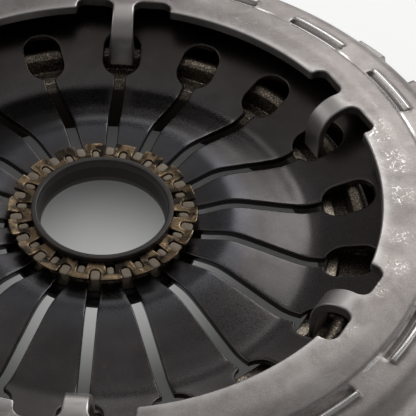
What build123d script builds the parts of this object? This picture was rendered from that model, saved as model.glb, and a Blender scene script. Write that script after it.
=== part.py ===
from build123d import *
import os
from math import radians, degrees, sin, cos, tan, atan2, sqrt, hypot

os.makedirs("parts", exist_ok=True)

# ---------------------------------------------------------------- driving dimensions
# Z = 0 is the flange face that sits on the flywheel, +Z points to the gearbox.
SHEET = 6.0            # cover sheet
H_TOP = 69.5           # cover land above the flange face
OPEN_R = 147.5         # cover opening
LAND_W = 25.0          # flat land round the opening
SHOULDER = 30.0        # outer radius of the shoulder
WALL_LEAN = 4.5        # cover wall leans out by this much down to the flange
FOOT_BEND = 4.0        # inside radius of the bend from wall to flange
FLANGE_W = 18.0        # flange, from the foot of the wall to its edge
GAP = 0.3              # free gap between pieces of different bodies
FIT = 0.05             # radial clearance of a rivet or ring in its hole

BOLT_D = 10.5          # clearance hole for M10
DOWEL_D = 10.03
BOLT_EDGE = 9.0        # bolt circle inside the flange edge
BOLTS_AT, BOLT_STEP = 90.0, 23.0   # middle of the first group of four, degrees between bolts

STATIONS = 3           # leaf spring stations, and groups of bolts between them
LEAF_AT = 32.5         # angle of the first leaf pack
LEAF_HALF = 12.0       # half angle between the two rivets of a pack
LEAF_W, LEAF_T, LEAVES = 18.0, 1.0, 3
LEAF_Z = 12.0          # underside of a pack
SHELF_EDGE = 3.0       # bridge over a pack stops short of the flange edge
SHELF_TOP = 30.0
RIVET_D, HEAD_D, HEAD_H = 10.0, 15.0, 3.5
WASHER_T = 2.0
LUG_T = 14.0           # lugs of the plate that carry the packs
WEIGHT_T, PIN_D = 3.0, 6.0         # balance weight and its rivet

FINGERS = 18
SLOT_AT = 10.0         # angle of the first slot
SLOT_W = 6.0
WIN_L, WIN_W, WIN_CORNER = 27.9, 21.6, 9.5
WIN_PAST = 2.0         # windows reach this far out under the cover
SPRING_T = 4.2         # diaphragm spring, measured along Z
CONE_RISE = 19.65      # from the inner end of the windows up to the fulcrum

POCKET_SPAN = 11.8     # degrees, one pocket over each slot but the first of each station
POCKET_WALL, POCKET_FLOOR, POCKET_BACK = 3.0, 4.0, 3.5     # radial widths, from inside
POCKET_DEEP = 5.5

HOOKS, HOOK_AT, HOOK_W, HOOK_TIP_W = 6, 30.0, 12.6, 15.0
HOOK_T = 4.2           # hook below its bend
HOOK_REACH = 16.75     # hook stands this far inside the opening
NOTCH_DEEP, NOTCH_W, NOTCH_CORNER = 6.0, 21.5, 5.5

BORE_R, BORE_LAND = 33.7, 3.0      # straight bore of the thrust ring
LIP_WALL = 3.25
LIP_DEEP = 14.5        # from the lip down to the straight bore
TIP_GAP = 8.95         # from the lip out to the finger tips
SEAT_W = 6.5           # seat ring reaches this far under the fingers
STAR_T = 1.8

PLATE_Z = -6.0         # friction face, proud of the flange while unbolted
PLATE_GAP = 2.5        # between the plate and the foot of the cover wall
RIDGE_W = 8.6
CROWN = 2.5            # height of the rounded ridge crown

# ---------------------------------------------------------------- sizes that follow
LAND_R = OPEN_R + LAND_W
WALL_R = LAND_R + SHOULDER
WALL_Z = H_TOP - SHOULDER
FOOT_R = WALL_R + WALL_LEAN
FLANGE_R = FOOT_R + FLANGE_W
BOLT_R = FLANGE_R - BOLT_EDGE
SHELF_R = FLANGE_R - SHELF_EDGE
SHELF_LOW = SHELF_TOP - SHEET
LEAF_HOLE_R = SHELF_R - LEAF_W / 2 - 1
LEAF_R = LEAF_HOLE_R * cos(radians(LEAF_HALF))
LEAF_Y = LEAF_HOLE_R * sin(radians(LEAF_HALF))
LEAF_TOP = LEAF_Z + LEAF_T * LEAVES
PITCH = 360 / STATIONS

POCKET_IN = LAND_R - 1.5
FLOOR_IN = POCKET_IN + POCKET_WALL
FLOOR_OUT = FLOOR_IN + POCKET_FLOOR
POCKET_OUT = FLOOR_OUT + POCKET_BACK
FULCRUM_R = (FLOOR_IN + FLOOR_OUT) / 2
FULCRUM_Z = H_TOP - POCKET_DEEP - SHEET - 0.05
RIM_R = FULCRUM_R + 4
NOTCH_R = OPEN_R + NOTCH_DEEP
HOOK_R = OPEN_R - HOOK_REACH

WIN_OUT = OPEN_R + WIN_PAST
WIN_IN = WIN_OUT - WIN_L
WIN_Z = FULCRUM_Z - CONE_RISE
CONE_SLOPE = CONE_RISE / (FULCRUM_R - WIN_IN)
RIM_Z = WIN_Z + CONE_SLOPE * (RIM_R - WIN_IN)
HOOK_TIP_Z = WIN_Z - 1.3

LIP_IN = BORE_R + 1.3
LIP_R = LIP_IN + LIP_WALL
TIP_R = LIP_R + TIP_GAP
SEAT_R = TIP_R + SEAT_W
STAR_OUT = TIP_R + 3.8
TIP = (TIP_R, WIN_Z + 2.6)
NOSE = (TIP_R + 8.8, WIN_Z + 4.1)
HUMP = (TIP_R + 21.8, WIN_Z + 6.7)
VALLEY = (WIN_IN - 9.6, WIN_Z - 1.9)
knee_in = (HUMP[0] + 0.442 * (VALLEY[0] - HUMP[0]), WIN_Z + 3.3)
knee_out = (HUMP[0] + 0.79 * (VALLEY[0] - HUMP[0]), WIN_Z - 0.4)
LIP_Z = TIP[1] + 9.1
BORE_Z = LIP_Z - LIP_DEEP
STAR_Z = LIP_Z - 3
STAR_RISE = 1.0        # the rim of the star spring stands this much above its teeth

PLATE_IN = WIN_IN + 0.9
PLATE_OUT = FOOT_R - SHEET - PLATE_GAP
RIDGE_R = WIN_OUT - 7.2
CROWN_R = ((RIDGE_W / 2) ** 2 + CROWN ** 2) / (2 * CROWN)
LAND_TOP = WIN_Z - 5.7         # inner land of the plate
FLOOR_TOP = WIN_Z - 9.3        # rough floor between land and ridge


def radial(angle):
    """Plane through the axis: local x is the radius, local y is Z."""
    a = radians(angle)
    return Plane(origin=(0, 0, 0), x_dir=(cos(a), sin(a), 0), z_dir=(sin(a), -cos(a), 0))


def polar(r, angle, z=0.0):
    return (r * cos(radians(angle)), r * sin(radians(angle)), z)


def save(part, name):
    part.label = name
    export_step(part, "parts/" + name + ".step")


# ---------------------------------------------------------------- diaphragm spring
def spring_top(r):
    """Top face of the diaphragm spring at radius r, outside the valley."""
    if r < WIN_IN:
        return VALLEY[1] + (WIN_Z - VALLEY[1]) * (r - VALLEY[0]) / (WIN_IN - VALLEY[0])
    return WIN_Z + (RIM_Z - WIN_Z) * (r - WIN_IN) / (RIM_R - WIN_IN)


RIDGE_Z = spring_top(RIDGE_R) - SPRING_T - CROWN_R * (sqrt(1 + CONE_SLOPE ** 2) - 1) - 0.05

with BuildPart() as diaphragm_spring:
    with BuildSketch(Plane.XZ):
        with BuildLine():
            up = Spline(TIP, NOSE, HUMP, knee_in, knee_out, VALLEY, (WIN_IN, WIN_Z))
            rim = Line(up @ 1, (RIM_R, RIM_Z))
            side = Line(rim @ 1, (RIM_R, RIM_Z - SPRING_T))
            back = Line(side @ 1, (WIN_IN, WIN_Z - SPRING_T))
            under = [(r, z - SPRING_T) for r, z in (VALLEY, knee_out, knee_in, HUMP, NOSE, TIP)]
            low = Spline(back @ 1, *under)
            Line(low @ 1, up @ 0)
        make_face()
    revolve(axis=Axis.Z)
    with BuildSketch(Plane.XY):
        with PolarLocations(0, FINGERS, start_angle=SLOT_AT):
            with Locations(((TIP_R - 4 + WIN_IN + 6) / 2, 0)):
                Rectangle(WIN_IN + 10 - TIP_R, SLOT_W)
            with Locations(((WIN_IN + WIN_OUT) / 2, 0)):
                RectangleRounded(WIN_OUT - WIN_IN, WIN_W, WIN_CORNER)
    extrude(amount=H_TOP, mode=Mode.SUBTRACT)
save(diaphragm_spring.part, "diaphragm_spring")

# ---------------------------------------------------------------- cover
INNER = SHOULDER - SHEET
MID = sqrt(0.5)
LEAN = atan2(WALL_LEAN, WALL_Z - SHEET)
GUSSET_TOP = WALL_Z + 6.5
STATION_HALF = 17.5    # half angle of the bridge over a leaf pack
turns = [k * 360 / FINGERS for k in range(FINGERS) if k % (FINGERS // STATIONS)]
POCKETS = [Location((0, 0, 0), (0, 0, turn)) for turn in turns]

with BuildPart() as pocket_skin:
    with BuildSketch(radial(SLOT_AT - 0.3 - POCKET_SPAN / 2 - 1.2)):
        with BuildLine():
            low = H_TOP - POCKET_DEEP - SHEET
            Polyline((POCKET_IN - 5, H_TOP - SHEET + 1), (FLOOR_IN - 1.5, low + 0.8), (FULCRUM_R, low),
                     (FLOOR_OUT + 1.5, low + 2.4), (POCKET_OUT + 3, H_TOP - SHEET - 1.0),
                     (POCKET_OUT + 3, H_TOP - SHEET + 1), close=True)
        make_face()
    revolve(axis=Axis.Z, revolution_arc=POCKET_SPAN + 2.4)

with BuildPart() as pocket_void:
    with BuildSketch(radial(SLOT_AT - 0.3 - POCKET_SPAN / 2)):
        with BuildLine():
            Polyline((POCKET_IN, H_TOP + 1), (POCKET_IN, H_TOP), (FLOOR_IN, H_TOP - POCKET_DEEP),
                     (FLOOR_OUT, H_TOP - POCKET_DEEP), (POCKET_OUT, H_TOP - 1.2),
                     (POCKET_OUT, H_TOP + 1), close=True)
        make_face()
    revolve(axis=Axis.Z, revolution_arc=POCKET_SPAN)

with BuildPart() as hook:
    bend = OPEN_R + 0.5
    r_out = bend - HOOK_R
    inner_face = HOOK_R + HOOK_T
    r_in = bend - inner_face
    with BuildSketch(Plane.XZ):
        with BuildLine():
            top = Line((NOTCH_R + 0.5, H_TOP), (bend, H_TOP))
            arc1 = RadiusArc(top @ 1, (HOOK_R, H_TOP - r_out), -r_out)
            leg = Line(arc1 @ 1, (HOOK_R + 0.6, HOOK_TIP_Z + 0.8))
            tip = Line(leg @ 1, (HOOK_R + 1.4, HOOK_TIP_Z))
            end = Line(tip @ 1, (inner_face - 0.8, HOOK_TIP_Z))
            back = Line(end @ 1, (inner_face, H_TOP - SHEET - r_in))
            arc2 = RadiusArc(back @ 1, (bend, H_TOP - SHEET), r_in)
            low = Line(arc2 @ 1, (NOTCH_R + 0.5, H_TOP - SHEET))
            Line(low @ 1, top @ 0)
        make_face()
    extrude(amount=HOOK_TIP_W / 2, both=True)
    with BuildSketch(Plane.YZ.offset(HOOK_R - 5)):
        with BuildLine():
            w1, w2 = HOOK_W / 2, HOOK_TIP_W / 2
            z1, z2 = H_TOP - SHEET, H_TOP - 20.5
            Polyline((-w1, H_TOP + 1), (-w1, z1), (-w2, z2), (-w2, HOOK_TIP_Z - 1), (w2, HOOK_TIP_Z - 1),
                     (w2, z2), (w1, z1), (w1, H_TOP + 1), close=True)
        make_face()
    extrude(amount=NOTCH_R - HOOK_R + 10, mode=Mode.INTERSECT)

with BuildPart() as bridge:
    # shelf over a leaf pack, its two end walls and the two gussets, at angle 0
    with BuildSketch(radial(-STATION_HALF - 1.7)):
        with BuildLine():
            Polyline((FOOT_R - SHEET - 1.5, SHELF_LOW), (SHELF_R, SHELF_LOW), (SHELF_R, SHELF_TOP),
                     (FOOT_R - SHEET - 1.5, SHELF_TOP), close=True)
        make_face()
    revolve(axis=Axis.Z, revolution_arc=2 * STATION_HALF + 3.4)
    for start in (-STATION_HALF - 1.7, STATION_HALF):
        with BuildSketch(radial(start)):
            with BuildLine():
                Polyline((FOOT_R - SHEET, 0), (SHELF_R, 0), (SHELF_R, SHELF_TOP),
                         (FOOT_R - SHEET, SHELF_TOP), close=True)
            make_face()
        revolve(axis=Axis.Z, revolution_arc=1.7)
    for middle in (LEAF_HALF + 0.15, -0.15):
        with BuildSketch(radial(middle - 2.9)):
            with BuildLine():
                Polyline((WALL_R - 3, SHELF_TOP - 1), (SHELF_R - 3, SHELF_TOP - 1), (SHELF_R - 7, GUSSET_TOP),
                         (WALL_R - 3, GUSSET_TOP), close=True)
            make_face()
        revolve(axis=Axis.Z, revolution_arc=5.8)

with BuildPart() as bridge_void:
    with BuildSketch(radial(-STATION_HALF)):
        with BuildLine():
            Polyline((WALL_R - SHEET - 6, -1), (FLANGE_R + 1, -1), (FLANGE_R + 1, SHELF_LOW),
                     (WALL_R - SHEET - 6, SHELF_LOW), close=True)
        make_face()
    revolve(axis=Axis.Z, revolution_arc=2 * STATION_HALF)
    for middle in (LEAF_HALF + 0.15, -0.15):
        with BuildSketch(radial(middle - 1.8)):
            with BuildLine():
                Polyline((WALL_R - SHEET + 1, SHELF_LOW - 1), (SHELF_R - 9, SHELF_LOW - 1),
                         (SHELF_R - 12.5, GUSSET_TOP - 5), (WALL_R - SHEET + 1, GUSSET_TOP - 5), close=True)
            make_face()
        revolve(axis=Axis.Z, revolution_arc=3.6)

with BuildPart() as cover:
    with BuildSketch(Plane.XZ):
        with BuildLine():
            land = Line((OPEN_R, H_TOP), (LAND_R, H_TOP))
            arc1 = ThreePointArc(land @ 1, (LAND_R + SHOULDER * MID, WALL_Z + SHOULDER * MID),
                                 (WALL_R, WALL_Z))
            top = FilletPolyline(arc1 @ 1, (FOOT_R, SHEET), (FLANGE_R, SHEET), radius=FOOT_BEND)
            edge = Line(top @ 1, (FLANGE_R, 0))
            FilletPolyline(edge @ 1, (FOOT_R - SHEET, 0), (WALL_R - SHEET, WALL_Z), radius=FOOT_BEND + SHEET)
            ThreePointArc((WALL_R - SHEET, WALL_Z), (LAND_R + INNER * MID, WALL_Z + INNER * MID),
                          (LAND_R, H_TOP - SHEET))
            Line((LAND_R, H_TOP - SHEET), (OPEN_R, H_TOP - SHEET))
            Line((OPEN_R, H_TOP - SHEET), (OPEN_R, H_TOP))
        make_face()
    revolve(axis=Axis.Z)
    # openings in the side wall and bridges over the leaf packs
    with PolarLocations(0, STATIONS, start_angle=LEAF_AT):
        add(bridge.part)
    with PolarLocations(0, STATIONS, start_angle=LEAF_AT):
        add(bridge_void.part, mode=Mode.SUBTRACT)
    # pressed fulcrum pockets over the slots of the spring
    with Locations(*POCKETS):
        add(pocket_skin.part)
    with Locations(*POCKETS):
        add(pocket_void.part, mode=Mode.SUBTRACT)
    # notches beside the hooks, then the hooks
    with BuildSketch(Plane.XY.offset(H_TOP - SHEET - 2)):
        with PolarLocations(0, HOOKS, start_angle=HOOK_AT):
            for side in (-1, 1):
                depth = NOTCH_R - OPEN_R + 14
                with Locations((NOTCH_R - depth / 2, side * (HOOK_W + NOTCH_W) / 2)):
                    RectangleRounded(depth, NOTCH_W, NOTCH_CORNER)
    extrude(amount=SHEET + 4, mode=Mode.SUBTRACT)
    with PolarLocations(0, HOOKS, start_angle=HOOK_AT):
        add(hook.part)
    # bolt, dowel and rivet holes
    for step in range(STATIONS):
        middle = BOLTS_AT + step * PITCH
        with Locations(*[polar(BOLT_R, middle + a * BOLT_STEP) for a in (-1.5, -0.5, 0.5, 1.5)]):
            Cylinder(BOLT_D / 2, 3 * SHEET, mode=Mode.SUBTRACT)
        with Locations(polar(BOLT_R, middle)):
            Cylinder(DOWEL_D / 2, 3 * SHEET, mode=Mode.SUBTRACT)
        with Locations(polar(BOLT_R, middle + BOLT_STEP)):
            Cylinder(PIN_D / 2 + FIT, 3 * SHEET, mode=Mode.SUBTRACT)
        with Locations(polar(LEAF_HOLE_R, LEAF_AT + step * PITCH - LEAF_HALF, SHELF_TOP)):
            Cylinder(RIVET_D / 2 + FIT, 3 * SHEET, mode=Mode.SUBTRACT)
save(cover.part, "cover")

# ---------------------------------------------------------------- pressure plate
LUG_TOP = LEAF_Z
with BuildPart() as pressure_plate:
    with BuildSketch(Plane.XZ):
        r_in, r_out = RIDGE_R - RIDGE_W / 2, RIDGE_R + RIDGE_W / 2
        with BuildLine():
            Polyline((PLATE_IN, PLATE_Z), (PLATE_OUT, PLATE_Z), (PLATE_OUT, PLATE_Z + 13),
                     (PLATE_OUT - 8, PLATE_Z + 15), (PLATE_OUT - 12, FLOOR_TOP - 9),
                     (r_out + 6, FLOOR_TOP - 7), (r_out, RIDGE_Z - CROWN))
            ThreePointArc((r_out, RIDGE_Z - CROWN), (RIDGE_R, RIDGE_Z), (r_in, RIDGE_Z - CROWN))
            Polyline((r_in, RIDGE_Z - CROWN), (r_in - 0.6, FLOOR_TOP), (PLATE_IN + 7, FLOOR_TOP),
                     (PLATE_IN + 7, LAND_TOP), (PLATE_IN, LAND_TOP), (PLATE_IN, PLATE_Z))
        make_face()
    revolve(axis=Axis.Z)
    # two vents through the ridge
    with BuildSketch(Plane.XY.offset(FLOOR_TOP)):
        with PolarLocations(0, 2, start_angle=SLOT_AT - 20):
            with Locations((RIDGE_R + 2, 0)):
                Rectangle(RIDGE_W + 12, 40)
    extrude(amount=30, mode=Mode.SUBTRACT)
    # lugs for the leaf packs
    with BuildSketch(Plane.XY.offset(LUG_TOP)):
        with PolarLocations(0, STATIONS, start_angle=LEAF_AT):
            with Locations(((PLATE_OUT - 20 + LEAF_HOLE_R + 6) / 2, LEAF_Y)):
                RectangleRounded(LEAF_HOLE_R - PLATE_OUT + 26, 26, 8)
    extrude(amount=-LUG_T)
    with Locations(*[polar(LEAF_HOLE_R, LEAF_AT + LEAF_HALF + k * PITCH) for k in range(STATIONS)]):
        Cylinder(RIVET_D / 2 + FIT, 80, mode=Mode.SUBTRACT)
    chamfer(pressure_plate.faces().sort_by(Axis.Z)[0].edges(), 1.0)
save(pressure_plate.part, "pressure_plate")

# ---------------------------------------------------------------- leaf springs
for station, letter in enumerate("abc"):
    for layer in range(LEAVES):
        with BuildPart() as leaf:
            with BuildSketch(Plane.XY.offset(LEAF_Z + layer * LEAF_T)):
                with Locations(Location((0, 0, 0), (0, 0, LEAF_AT + station * PITCH))):
                    with Locations((LEAF_R, 0)):
                        RectangleRounded(LEAF_W, 2 * LEAF_Y + LEAF_W + 2, 6)
                    with Locations((LEAF_R, LEAF_Y), (LEAF_R, -LEAF_Y)):
                        Circle(RIVET_D / 2 + FIT, mode=Mode.SUBTRACT)
            extrude(amount=LEAF_T)
        save(leaf.part, "leaf_" + letter + str(layer + 1))


def rivet(z_low, z_high, sides):
    """A rivet along Z at the origin: shank between two heads."""
    with BuildPart() as one:
        with Locations((0, 0, (z_low + z_high) / 2)):
            Cylinder(RIVET_D / 2, z_high - z_low)
        with Locations((0, 0, z_low - HEAD_H / 2), (0, 0, z_high + HEAD_H / 2)):
            Cylinder(HEAD_D / 2, HEAD_H)
        rims = one.edges().filter_by(GeomType.CIRCLE).sort_by(Axis.Z)
        chamfer([rims[0], rims[-1]], HEAD_H * 0.45)
    return one.part


cover_side = [polar(LEAF_HOLE_R, LEAF_AT - LEAF_HALF + k * PITCH) for k in range(STATIONS)]
plate_side = [polar(LEAF_HOLE_R, LEAF_AT + LEAF_HALF + k * PITCH) for k in range(STATIONS)]

with BuildPart() as cover_rivets:
    with Locations(*cover_side):
        add(rivet(LEAF_Z, SHELF_TOP, 2))
save(cover_rivets.part, "cover_rivets")

with BuildPart() as leaf_spacers:
    with BuildSketch(Plane.XY.offset(LEAF_TOP)):
        with Locations(*cover_side):
            Circle(LEAF_W / 2)
            Circle(RIVET_D / 2 + FIT, mode=Mode.SUBTRACT)
    extrude(amount=SHELF_LOW - LEAF_TOP)
save(leaf_spacers.part, "leaf_spacers")

with BuildPart() as plate_rivets:
    with Locations(*plate_side):
        add(rivet(LUG_TOP - LUG_T, LEAF_TOP + WASHER_T, 2))
save(plate_rivets.part, "plate_rivets")

with BuildPart() as leaf_washers:
    with BuildSketch(Plane.XY.offset(LEAF_TOP)):
        with Locations(*plate_side):
            Circle(LEAF_W / 2)
            Circle(RIVET_D / 2 + FIT, mode=Mode.SUBTRACT)
    extrude(amount=WASHER_T)
save(leaf_washers.part, "leaf_washers")

# ---------------------------------------------------------------- release hub
HUB_R = LIP_R - 0.35           # body of the thrust ring under its lip
SEAT_LOW, SEAT_TOP = LIP_Z - 21, LIP_Z - 17
BEAD_R = TIP_R + 3.0
BEAD_W = 2.0
BEAD_Z = TIP[1] - SPRING_T + 0.15

# the lower side of the ring is a 45 degree cone, so radius + height is constant on it
CONE = BORE_R + BORE_Z
BACK = CONE + 4.4              # outer side of that cone
FOOT_Z = SEAT_LOW - 3.5

with BuildPart() as thrust_ring:
    with BuildSketch(Plane.XZ):
        with BuildLine():
            Polyline((LIP_IN, LIP_Z - 0.6), (LIP_IN + 0.6, LIP_Z), (LIP_R - 0.6, LIP_Z), (LIP_R, LIP_Z - 0.6),
                     (LIP_R, STAR_Z + 0.2), (HUB_R - 0.5, STAR_Z + 0.2), (HUB_R - 0.5, STAR_Z - STAR_T - 0.2),
                     (HUB_R, STAR_Z - STAR_T - 0.2), (HUB_R, BACK - HUB_R), (BACK - SEAT_LOW, SEAT_LOW),
                     (SEAT_R - 2.2, SEAT_LOW), (SEAT_R - 2.2, FOOT_Z), (CONE - FOOT_Z, FOOT_Z),
                     (BORE_R, BORE_Z), (BORE_R, BORE_Z + BORE_LAND), (LIP_IN - 0.2, LIP_Z - 5), close=True)
        make_face()
    revolve(axis=Axis.Z)
save(thrust_ring.part, "thrust_ring")

SEAT_IN = BACK - SEAT_TOP + 0.1
with BuildPart() as seat_ring:
    with BuildSketch(Plane.XZ):
        with BuildLine():
            Polyline((BACK - SEAT_LOW + 0.1, SEAT_LOW), (SEAT_R, SEAT_LOW), (SEAT_R, SEAT_TOP - 0.8),
                     (SEAT_R - 0.8, SEAT_TOP), (BEAD_R + BEAD_W, SEAT_TOP), (BEAD_R + BEAD_W, BEAD_Z - 1.2))
            ThreePointArc((BEAD_R + BEAD_W, BEAD_Z - 1.2), (BEAD_R, BEAD_Z), (BEAD_R - BEAD_W, BEAD_Z - 1.2))
            Polyline((BEAD_R - BEAD_W, BEAD_Z - 1.2), (BEAD_R - BEAD_W, SEAT_TOP), (SEAT_IN, SEAT_TOP),
                     (BACK - SEAT_LOW + 0.1, SEAT_LOW))
        make_face()
    revolve(axis=Axis.Z)
save(seat_ring.part, "seat_ring")

LUG_Z = STAR_Z - 0.4
INNER_LUG = (SEAT_IN, TIP_R - 0.8, 4.0)      # inner radius, outer radius, width
OUTER_LUG = (TIP_R - 4.2, TIP_R + 3, SLOT_W - 2 * GAP - 0.1)
with BuildPart() as lug_ring:
    with BuildSketch(Plane.XY.offset(SEAT_TOP)):
        Circle(TIP_R - GAP)
        Circle(SEAT_IN, mode=Mode.SUBTRACT)
    extrude(amount=2.2)
    for lug, start in ((INNER_LUG, SLOT_AT + 10), (OUTER_LUG, SLOT_AT)):
        reach = min(lug[1], TIP_R - GAP)
        with BuildSketch(Plane.XY.offset(SEAT_TOP + 1)):
            with PolarLocations(0, FINGERS, start_angle=start):
                with Locations(((lug[0] + lug[1]) / 2, 0)):
                    RectangleRounded(lug[1] - lug[0], lug[2], lug[2] * 0.4)
        extrude(amount=LUG_Z - SEAT_TOP - 1)
    # the seat bead stays free under the outer lugs
    with BuildSketch(Plane.XZ):
        with BuildLine():
            Polyline((TIP_R - GAP, SEAT_TOP - 1), (TIP_R + 10, SEAT_TOP - 1), (TIP_R + 10, BEAD_Z + 0.6),
                     (TIP_R - GAP, BEAD_Z + 0.6), close=True)
        make_face()
    revolve(axis=Axis.Z, mode=Mode.SUBTRACT)
save(lug_ring.part, "lug_ring")

with BuildPart() as star_spring:
    with BuildSketch(Plane.XZ):
        inner, flat = LIP_R - 0.65, INNER_LUG[1]
        with BuildLine():
            rim = STAR_Z + STAR_RISE
            Polyline((inner, STAR_Z - STAR_T), (inner, STAR_Z), (flat, STAR_Z), (STAR_OUT, rim),
                     (STAR_OUT, rim - STAR_T), (flat, STAR_Z - STAR_T), close=True)
        make_face()
    revolve(axis=Axis.Z)
    with BuildSketch(Plane.XY.offset(TIP[1] - 2)):
        with PolarLocations(0, FINGERS, start_angle=SLOT_AT):
            with Locations((OUTER_LUG[0] - GAP + 8, 0)):
                RectangleRounded(16, OUTER_LUG[2] + 2 * GAP, OUTER_LUG[2] * 0.45)
        with PolarLocations(0, FINGERS, start_angle=SLOT_AT + 10):
            with Locations((INNER_LUG[1] + GAP - 8, 0)):
                RectangleRounded(16, INNER_LUG[2] + 2 * GAP, INNER_LUG[2] * 0.45)
    extrude(amount=12, mode=Mode.SUBTRACT)
save(star_spring.part, "star_spring")

# ---------------------------------------------------------------- balance weight
weight_at = BOLTS_AT + BOLT_STEP
with BuildPart() as balance_weight:
    with BuildSketch(Plane.XY.offset(SHEET)):
        with Locations(Location((0, 0, 0), (0, 0, weight_at))):
            with Locations((BOLT_R + 0.8, 0)):
                RectangleRounded(BOLT_EDGE + 2, 24, 4)
            with Locations((BOLT_R, 0)):
                Circle(PIN_D / 2 + FIT, mode=Mode.SUBTRACT)
    extrude(amount=WEIGHT_T)
save(balance_weight.part, "balance_weight")

with BuildPart() as balance_rivet:
    with BuildSketch(Plane.XY):
        with Locations(polar(BOLT_R, weight_at)):
            Circle(PIN_D / 2)
    extrude(amount=SHEET + WEIGHT_T)
    with BuildSketch(Plane.XY.offset(SHEET + WEIGHT_T)):
        with Locations(polar(BOLT_R, weight_at)):
            Circle(PIN_D / 2 + 2.5)
    extrude(amount=2.2, taper=30)
save(balance_rivet.part, "balance_rivet")
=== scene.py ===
"""Dresses a pull-type clutch cover: pressed cover, spring, cast plate, leaf packs and release hub."""
from math import acos, asin, atan2, ceil, cos, degrees, hypot, pi, radians, sin, sqrt, tan

import bmesh
import bpy
import numpy as np
from mathutils import Matrix, Vector
from mathutils.geometry import delaunay_2d_cdt


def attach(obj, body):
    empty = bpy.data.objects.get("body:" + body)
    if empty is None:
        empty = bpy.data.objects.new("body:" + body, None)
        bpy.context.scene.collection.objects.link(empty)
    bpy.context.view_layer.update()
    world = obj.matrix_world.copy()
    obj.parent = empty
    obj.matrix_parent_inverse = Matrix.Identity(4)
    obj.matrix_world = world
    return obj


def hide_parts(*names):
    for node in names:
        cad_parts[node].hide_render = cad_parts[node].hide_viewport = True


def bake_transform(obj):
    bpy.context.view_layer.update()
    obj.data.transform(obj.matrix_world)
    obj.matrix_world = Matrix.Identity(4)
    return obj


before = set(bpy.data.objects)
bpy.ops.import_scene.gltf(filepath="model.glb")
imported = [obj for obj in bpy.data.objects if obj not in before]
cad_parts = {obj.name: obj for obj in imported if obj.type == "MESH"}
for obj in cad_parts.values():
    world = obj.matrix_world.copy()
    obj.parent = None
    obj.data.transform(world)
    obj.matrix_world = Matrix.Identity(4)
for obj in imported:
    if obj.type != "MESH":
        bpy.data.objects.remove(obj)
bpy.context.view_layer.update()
MM = 0.001

# -------------------------------------------------- sizes, in millimetres and degrees
SHEET, H_TOP, OPEN_R, LAND_R, SHOULDER = 6.0, 69.5, 147.5, 187.0, 15.5
WALL_R, WALL_Z, FOOT_R, FLANGE_R, SHELF_R, SHELF_TOP = 202.5, 49.4, 207.0, 225.0, 222.0, 30.0
BOLT_R, BOLT_D, DOWEL_D, PIN_D, RIVET_D, BOLTS_AT, BOLT_STEP = 216.0, 10.5, 10.03, 6.1, 10.02, 90.0, 23.0
STATIONS, LEAF_AT, LEAF_HALF, STATION_HALF, WALL_ARC = 3, 32.5, 12.0, 17.5, 1.7
LEAF_HOLE_R, LEAF_W, LEAF_Z, LEAF_T, LEAVES = 212.0, 18.0, 12.0, 1.0, 3
PITCH = 360 / STATIONS          # from one leaf station to the next
FINGERS, SLOT_AT, SLOT_W, TIP_R, RIM_R, SPRING_T = 18, 10.0, 6.0, 47.2, 180.0, 4.2
WIN_IN, WIN_OUT, WIN_W, WIN_CORNER, WIN_Z, CONE_SLOPE = 121.6, 149.5, 21.6, 9.5, 38.3, 19.65 / 54.4
FINGER_PITCH = 360 / FINGERS
FINGER_AT = SLOT_AT + FINGER_PITCH / 2          # middle of the first finger
HOOKS, HOOK_AT, HOOK_W, HOOK_TIP_W, HOOK_T, HOOK_R, HOOK_TIP_Z = 6, 30.0, 12.6, 15.0, 4.2, 130.75, 37.0
HOOK_PITCH = 360 / HOOKS
NOTCH_R, NOTCH_W, NOTCH_CORNER = 153.5, 21.5, 5.5
POCKET_FROM, POCKET_TO = -6.2, 5.6
LIP_Z, LIP_R, LIP_IN, BORE_R = 50.0, 38.25, 35.0, 33.7
SEAT_R, STAR_Z, STAR_T, STAR_IN, STAR_BEND, STAR_OUT, LUG_TOP = 53.7, 47.0, 1.8, 37.6, 46.4, 51.0, 46.55
PLATE_IN, PLATE_OUT, PLATE_Z, RIDGE_R, RIDGE_W = 122.5, 198.5, -6.0, 142.3, 8.6
LAND_TOP, FLOOR_TOP, RIDGE_TOP = 32.6, 29.0, 41.2
FLOOR_LEVEL = -0.0096           # the studio floor, in metres


# -------------------------------------------------- shapes
def polar(r, angle, z=0.0):
    """Radius and angle as x, y, z."""
    return (r * cos(radians(angle)), r * sin(radians(angle)), z)


def spot(r, angle):
    """Radius and angle as a flat point."""
    return np.array(polar(r, angle)[:2])


def box(x0, x1, y0, y1):
    """Corners of a rectangle, counter-clockwise."""
    return [(x0, y0), (x1, y0), (x1, y1), (x0, y1)]


def strip(a, b, n):
    """Faces between two closed rows of n points, which start at points a and b."""
    return [(a + i, a + (i + 1) % n, b + (i + 1) % n, b + i) for i in range(n)]


def ease(x, low, high):
    """0 below low, 1 above high, smooth between them; works on arrays."""
    t = np.clip((np.asarray(x, float) - low) / (high - low), 0, 1)
    return t * t * (3 - 2 * t)


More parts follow.
